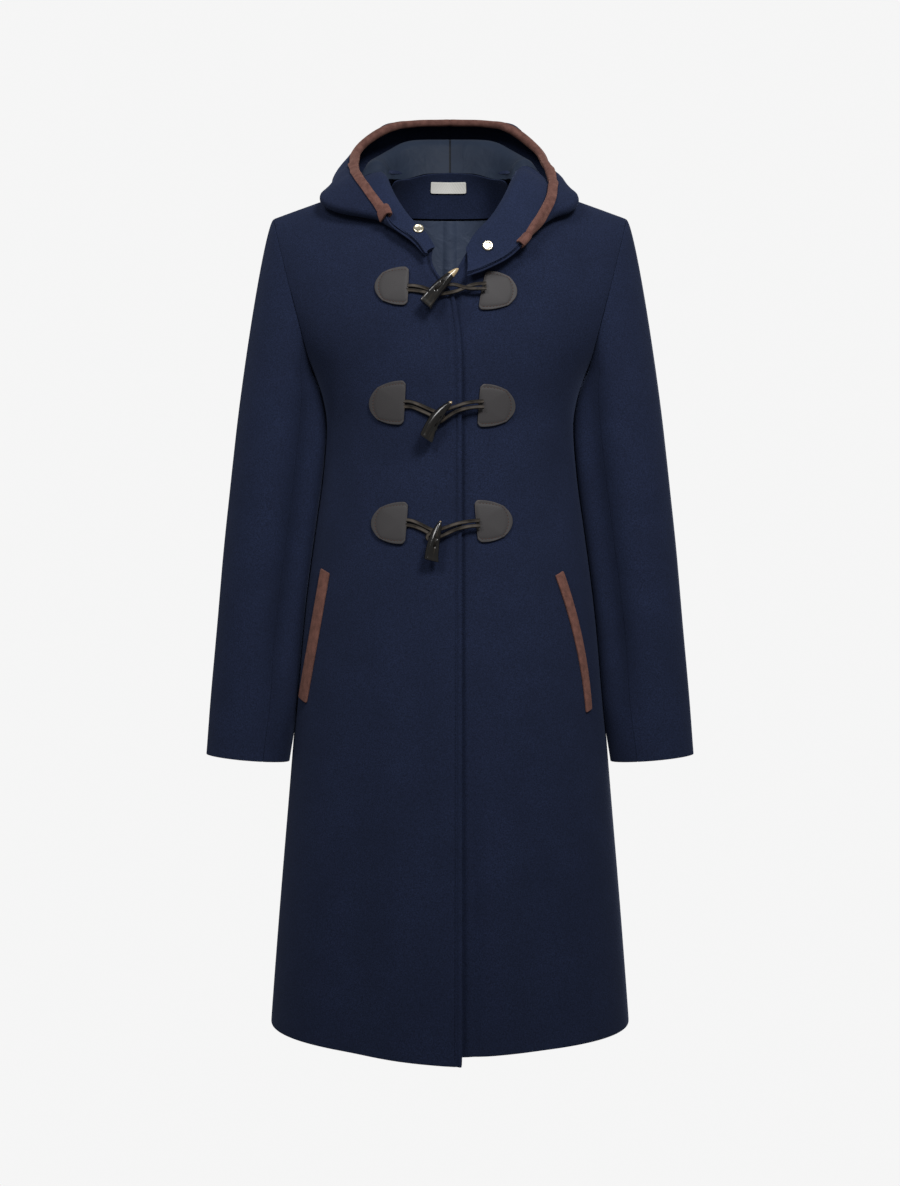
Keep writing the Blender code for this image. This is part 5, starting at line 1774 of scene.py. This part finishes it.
# %% Measures of the cords
HOLDER_STAND, LOOP_STAND = 2.6 * MM, 5.8 * MM
LOOP_LIFTS, LOOP_LIFT_OVER = 0.020, 0.018       # where a loop leaves its patch and rises
CROSSING = 0.9 * MM        # how much higher its second half lies
LACE_HALF, LACE_THICK = 2.2 * MM, 1.3 * MM
LACE_SIDES, LACE_RINGS, LACE_ROLL = 20, 120, 0.35
# x and z along each cord, from the patch round the toggle and back
HOLDERS = (
    ((-0.0500, -0.1346), (-0.0400, -0.1350), (-0.0310, -0.1368), (-0.0230, -0.1395),
     (-0.0150, -0.1410), (-0.0090, -0.1428), (-0.0130, -0.1456), (-0.0210, -0.1443),
     (-0.0300, -0.1420), (-0.0400, -0.1402), (-0.0500, -0.1396)),
    ((-0.0540, -0.2624), (-0.0440, -0.2632), (-0.0340, -0.2665), (-0.0240, -0.2710),
     (-0.0150, -0.2750), (-0.0070, -0.2790), (-0.0110, -0.2828), (-0.0190, -0.2795),
     (-0.0300, -0.2740), (-0.0420, -0.2690), (-0.0540, -0.2682)),
    ((-0.0520, -0.3942), (-0.0430, -0.3950), (-0.0340, -0.3985), (-0.0250, -0.4030),
     (-0.0170, -0.4070), (-0.0120, -0.4110), (-0.0170, -0.4145), (-0.0240, -0.4090),
     (-0.0330, -0.4040), (-0.0430, -0.4006), (-0.0520, -0.3998)),
)
LOOPS = (
    ((0.0400, -0.1325), (0.0310, -0.1330), (0.0220, -0.1350), (0.0130, -0.1392),
     (0.0040, -0.1428), (-0.0060, -0.1448), (-0.0150, -0.1448), (-0.0185, -0.1412),
     (-0.0150, -0.1376), (-0.0060, -0.1360), (0.0040, -0.1352), (0.0130, -0.1366),
     (0.0220, -0.1384), (0.0310, -0.1386), (0.0400, -0.1382)),
    ((0.0370, -0.2628), (0.0270, -0.2634), (0.0160, -0.2655), (0.0060, -0.2690),
     (-0.0040, -0.2720), (-0.0130, -0.2750), (-0.0195, -0.2790), (-0.0205, -0.2835),
     (-0.0160, -0.2868), (-0.0090, -0.2850), (-0.0010, -0.2790), (0.0070, -0.2742),
     (0.0160, -0.2712), (0.0270, -0.2694), (0.0370, -0.2688)),
    ((0.0330, -0.3950), (0.0240, -0.3956), (0.0130, -0.3976), (0.0030, -0.4006),
     (-0.0060, -0.4038), (-0.0150, -0.4070), (-0.0225, -0.4105), (-0.0245, -0.4145),
     (-0.0200, -0.4180), (-0.0120, -0.4145), (-0.0040, -0.4105), (0.0050, -0.4062),
     (0.0140, -0.4032), (0.0240, -0.4014), (0.0330, -0.4008)),
)


def over_front(x, z, stand):
    """A point over the overlapping front, for things that cross the centre."""
    return on_front(RIGHT, -x, z, stand)


print("lace is", 2 * LACE_HALF / MM, "mm wide")

# %% Build the cords


def lace_place(points, wide, thick, twists):
    """A flat lace along a smooth curve, which twists a little as it runs."""
    step = 0.004

    def place(turn, along):
        centre = curve_through(points, along)
        ahead = curve_through(points, min(along + step, 1.0))
        run = (ahead - curve_through(points, max(along - step, 0.0))).normalized()
        side = run.cross(Vector((0, -1, 0))).normalized()
        up = side.cross(run)
        roll = LACE_ROLL * math.sin(twists * math.pi * along)
        a = side * math.cos(roll) + up * math.sin(roll)
        b = up * math.cos(roll) - side * math.sin(roll)
        ridge = 0.35 + 0.65 * abs(math.cos(turn)) ** 0.7
        return centre + a * wide * math.cos(turn) + b * thick * math.sin(turn) * ridge

    return place


def build_lace(name, points, node, twists):
    """One cord, lighter along its two rubbed narrow edges, with painted shade of its fold
    in its darker middle.
    """
    place = lace_place(points, LACE_HALF, LACE_THICK, twists)
    mesh = bar_mesh(place, LACE_SIDES, LACE_RINGS)
    lace = to_piece(name, mesh, cord_leather, [node], smoothing=0, sharp=60)
    turns = [2 * math.pi * side / LACE_SIDES for side in range(LACE_SIDES)]
    # rub is 1 at the narrow edges and 0 in the middle: rubbed wear at the edges, painted
    # shade of the fold in the middle
    mark(lace, RUB, [math.cos(turns[index % LACE_SIDES]) ** 2
                     for index in range(len(lace.data.vertices))])


for number, row in enumerate(HOLDERS, 1):
    build_lace(f"toggle_holder_{number}", [over_front(x, z, HOLDER_STAND) for x, z in row],
               f"loop_right_{number}", 5)
for number, row in enumerate(LOOPS, 1):
    half_way = len(row) // 2
    points = []
    for place_in_row, (x, z) in enumerate(row):
        lifted = ease((LOOP_LIFTS - x) / LOOP_LIFT_OVER)
        stand = mix(HOLDER_STAND, LOOP_STAND, lifted)
        stand += CROSSING if place_in_row > half_way else 0.0
        points.append(over_front(x, z, stand))
    build_lace(f"toggle_loop_{number}", points, f"loop_left_{number}", 7)
print("cords:", len(HOLDERS) + len(LOOPS))

# %% [markdown]
# A toggle is a tapered bar with its sawn end at the base.  Its front is ground flat where
# the two holes are drilled; the cord shows between them.

# %% Measures and place of a toggle
# x and z of the cut end, x and z of the tip, how far it bends, its stand off the front,
# the turn of its flat face about its own length
TOGGLES = (
    (-0.0265, -0.1590, 0.0085, -0.1205, 2.0 * MM, 14.3 * MM, 0.10),
    (-0.0235, -0.3040, 0.0015, -0.2640, 4.0 * MM, 14.3 * MM, -0.95),
    (-0.0195, -0.4410, -0.0100, -0.3970, 2.0 * MM, 13.7 * MM, -0.35),
)
# share of the way along, half width, half depth
HORN = (
    (0.00, 7.9 * MM, 6.4 * MM), (0.02, 8.3 * MM, 6.8 * MM), (0.10, 7.9 * MM, 6.4 * MM),
    (0.35, 7.1 * MM, 5.9 * MM), (0.65, 5.5 * MM, 4.8 * MM), (0.88, 3.3 * MM, 3.1 * MM),
    (0.97, 1.8 * MM, 1.8 * MM), (1.00, 0.6 * MM, 0.6 * MM),
)
HOLES = (0.36, 0.56)                 # their shares of the way along
HOLE_RADIUS, HOLE_SOFT, HOLE_DEPTH = 1.9 * MM, 1.25, 0.3
FLAT_BASE, FLAT_END = 0.62, 0.85     # how flat the face is at the base, and where it ends
FACE_TURN = -math.pi / 2             # the turn that looks to the front
HORN_HALF = 7.5 * MM                 # about half a toggle's width, for its UV map
# the share of the way along from which each toggle is pale, and how soft that edge is
PALE_FROM, PALE_SOFT = (0.74, 0.90, 0.92), 0.12
# how far along and how far out the cord shows where it crosses the toggle's face
TIE = ((0.34, 2.5 * MM), (0.39, 4.4 * MM), (0.46, 5.3 * MM), (0.53, 4.4 * MM),
       (0.58, 2.5 * MM))
TIE_HALF, TIE_THICK = 1.4 * MM, 1.0 * MM


def bent(start, end, side, bend, t):
    """A point between two ends on a line that bows to one side."""
    return start.lerp(end, t) + side * bend * 4 * t * (1 - t)


def toggle_frame(row):
    """The two ends of a toggle and the ways along, across and out of it."""
    base_x, base_z, tip_x, tip_z, bend, stand, roll = row
    base, tip = over_front(base_x, base_z, stand), over_front(tip_x, tip_z, stand)
    run = (tip - base).normalized()
    wide = run.cross(Vector((0, 1, 0))).normalized()
    thick = wide.cross(run)
    return base, tip, run, wide, thick


def toggle_place(row):
    """A tapered horn toggle: a flat face lies towards its turn, with two dents in it."""
    base, tip, run, wide, thick = toggle_frame(row)
    length = (tip - base).length
    face_turn = FACE_TURN + row[6]

    def place(turn, along):
        half, deep = read(HORN, along)
        centre = bent(base, tip, wide, row[4], along)
        a, b = math.cos(turn) * half, math.sin(turn) * deep
        towards = math.cos(turn - face_turn)
        flat = mix(FLAT_BASE, 1.0, ease(along / FLAT_END))
        shrink = min(1.0, flat / max(towards, 0.1))
        for hole in HOLES:
            off = math.hypot((along - hole) * length,
                             math.sin(turn - face_turn) * half if towards > 0 else 1.0)
            shrink -= HOLE_DEPTH * ease(HOLE_SOFT - off / HOLE_RADIUS)
        return centre + (wide * a + thick * b) * shrink

    return place


lengths = [(tip - base).length for base, tip, *_ in map(toggle_frame, TOGGLES)]
print("toggles:", [round(length / MM, 1) for length in lengths], "mm long")

# %% Build the toggles and their ties
for number, row in enumerate(TOGGLES, 1):
    horn = to_piece(f"horn_toggle_{number}", bar_mesh(toggle_place(row), 48, 90),
                    toggle_horn, [f"toggle_{number}"], smoothing=0, sharp=38)
    base, tip, run, wide, thick = toggle_frame(row)
    face_turn = FACE_TURN + row[6]
    face = wide * math.cos(face_turn) + thick * math.sin(face_turn)
    spots, dents = [], []
    for vert in horn.data.vertices:
        co = vert.co - base
        along = min(max(co.dot(run) / lengths[number - 1], 0.0), 1.0)
        off = co - run * co.dot(run)
        across = off.dot(face.cross(run))
        front = 1.0 if off.dot(face) > 0 else 0.0
        spots.append((number + 0.25 * across / HORN_HALF + 0.5 * front, along))
        # how much painted hole shade each point gets
        away = min(math.hypot((along - at) * lengths[number - 1], across) for at in HOLES)
        dents.append(ease(HOLE_SOFT - away / HOLE_RADIUS) * front)
    uv = horn.data.uv_layers.new(name="horn")
    for loop in horn.data.loops:
        uv.data[loop.index].uv = spots[loop.vertex_index]
    mark(horn, "hole", dents)
    mark(horn, "pale", [ease((along - PALE_FROM[number - 1]) / PALE_SOFT)
                        for _, along in spots])
    tie = [bent(base, tip, wide, row[4], along) + face * out for along, out in TIE]
    cord = bar_mesh(lace_place(tie, TIE_HALF, TIE_THICK, 0), 16, 30)
    to_piece(f"toggle_tie_{number}", cord, cord_leather, (), smoothing=0,
             sharp=60)
    print("toggle", number, "has", sum(dent > 0 for dent in dents), "points in its holes")

# %% [markdown]
# The hood can be closed with a snap on its facing.  Each half is a round cap of pale metal
# with a raised rim and a dimple.

# %% Build the snaps
# side, station and share of the way from the neck seam to the rim
SNAPS = ((RIGHT, 0.900, 0.27), (LEFT, 0.936, 0.350))
SNAP_STAND = 0.3 * MM
# share of the profile's way, radius, height
SNAP_PROFILE = (
    (0.0, 6.0 * MM, 0.0), (0.25, 6.2 * MM, 0.6 * MM), (0.45, 5.6 * MM, 1.5 * MM),
    (0.60, 4.6 * MM, 1.9 * MM), (0.75, 3.4 * MM, 1.5 * MM), (0.90, 1.6 * MM, 1.3 * MM),
    (1.0, 0.3 * MM, 1.3 * MM),
)


def snap_place(side, station, v):
    """A round cap that sits on the hood's facing."""
    surface = standing(hood_surface(side), side)
    low, up = seat(lambda stand: surface(station, v, OUTER + SNAP_STAND + stand),
                   0.0, 1.0 * MM)
    across = up.orthogonal().normalized()
    other = up.cross(across)

    def place(turn, along):
        radius, height = read(SNAP_PROFILE, along)
        way = across * math.cos(turn) + other * math.sin(turn)
        return low + up * height + way * radius

    return place


for side, station, v in SNAPS:
    mesh = bar_mesh(snap_place(side, station, v), 40, 20)
    to_piece(f"snap_cap_{SIDE_NAMES[side]}", mesh, snap_metal, [f"snap_{SIDE_NAMES[side]}"],
             smoothing=0, sharp=70)
print("snaps:", len(SNAPS))

# %% [markdown]
# ## Topstitching
#
# The front edge is stitched all the way down, and the front corners of the hood have two
# rows along their rim, from the tape to the corner.

# %% Sew the front edge and the corners of the hood


STITCH_LINE = 0.0245       # the share of a front's width that lies outside its stitches
THREAD_STAND = 0.05 * MM


def front_edge_path(side):
    """The line of stitches down the front edge, in its groove."""
    place = standing(front_place(side), side)

    def path(t):
        v = mix(0.004, 0.985, t)
        return seat(lambda stand: place(STITCH_LINE, v, stand), THREAD_STAND, 1.0 * MM)

    return path


sewing = bmesh.new()
stitch_count = add_stitches(sewing, front_edge_path(RIGHT))
to_piece("front_edge_stitches", sewing, navy_thread, smoothing=0)


def hood_rim_path(side, inset):
    """A line of stitches on the hood's facing, from the end of the tape to the corner."""
    surface = hood_surface(side)
    place = standing(surface, side)

    def path(t):
        u = mix(BINDING_END[side] + 0.03, 0.995, t)
        v = from_rim(surface, u, inset)
        return seat(lambda stand: place(u, v, OUTER + stand), THREAD_STAND, 1.0 * MM)

    return path


for side, name in SIDE_NAMES.items():
    sewing = bmesh.new()
    for inset in (1.8 * MM, 6.5 * MM):
        stitch_count += add_stitches(sewing, hood_rim_path(side, inset), pitch=3.4 * MM,
                                     thick=0.25 * MM)
    to_piece(f"hood_rim_stitches_{name}", sewing, navy_thread, smoothing=0)
print("stitches along the edges:", stitch_count)
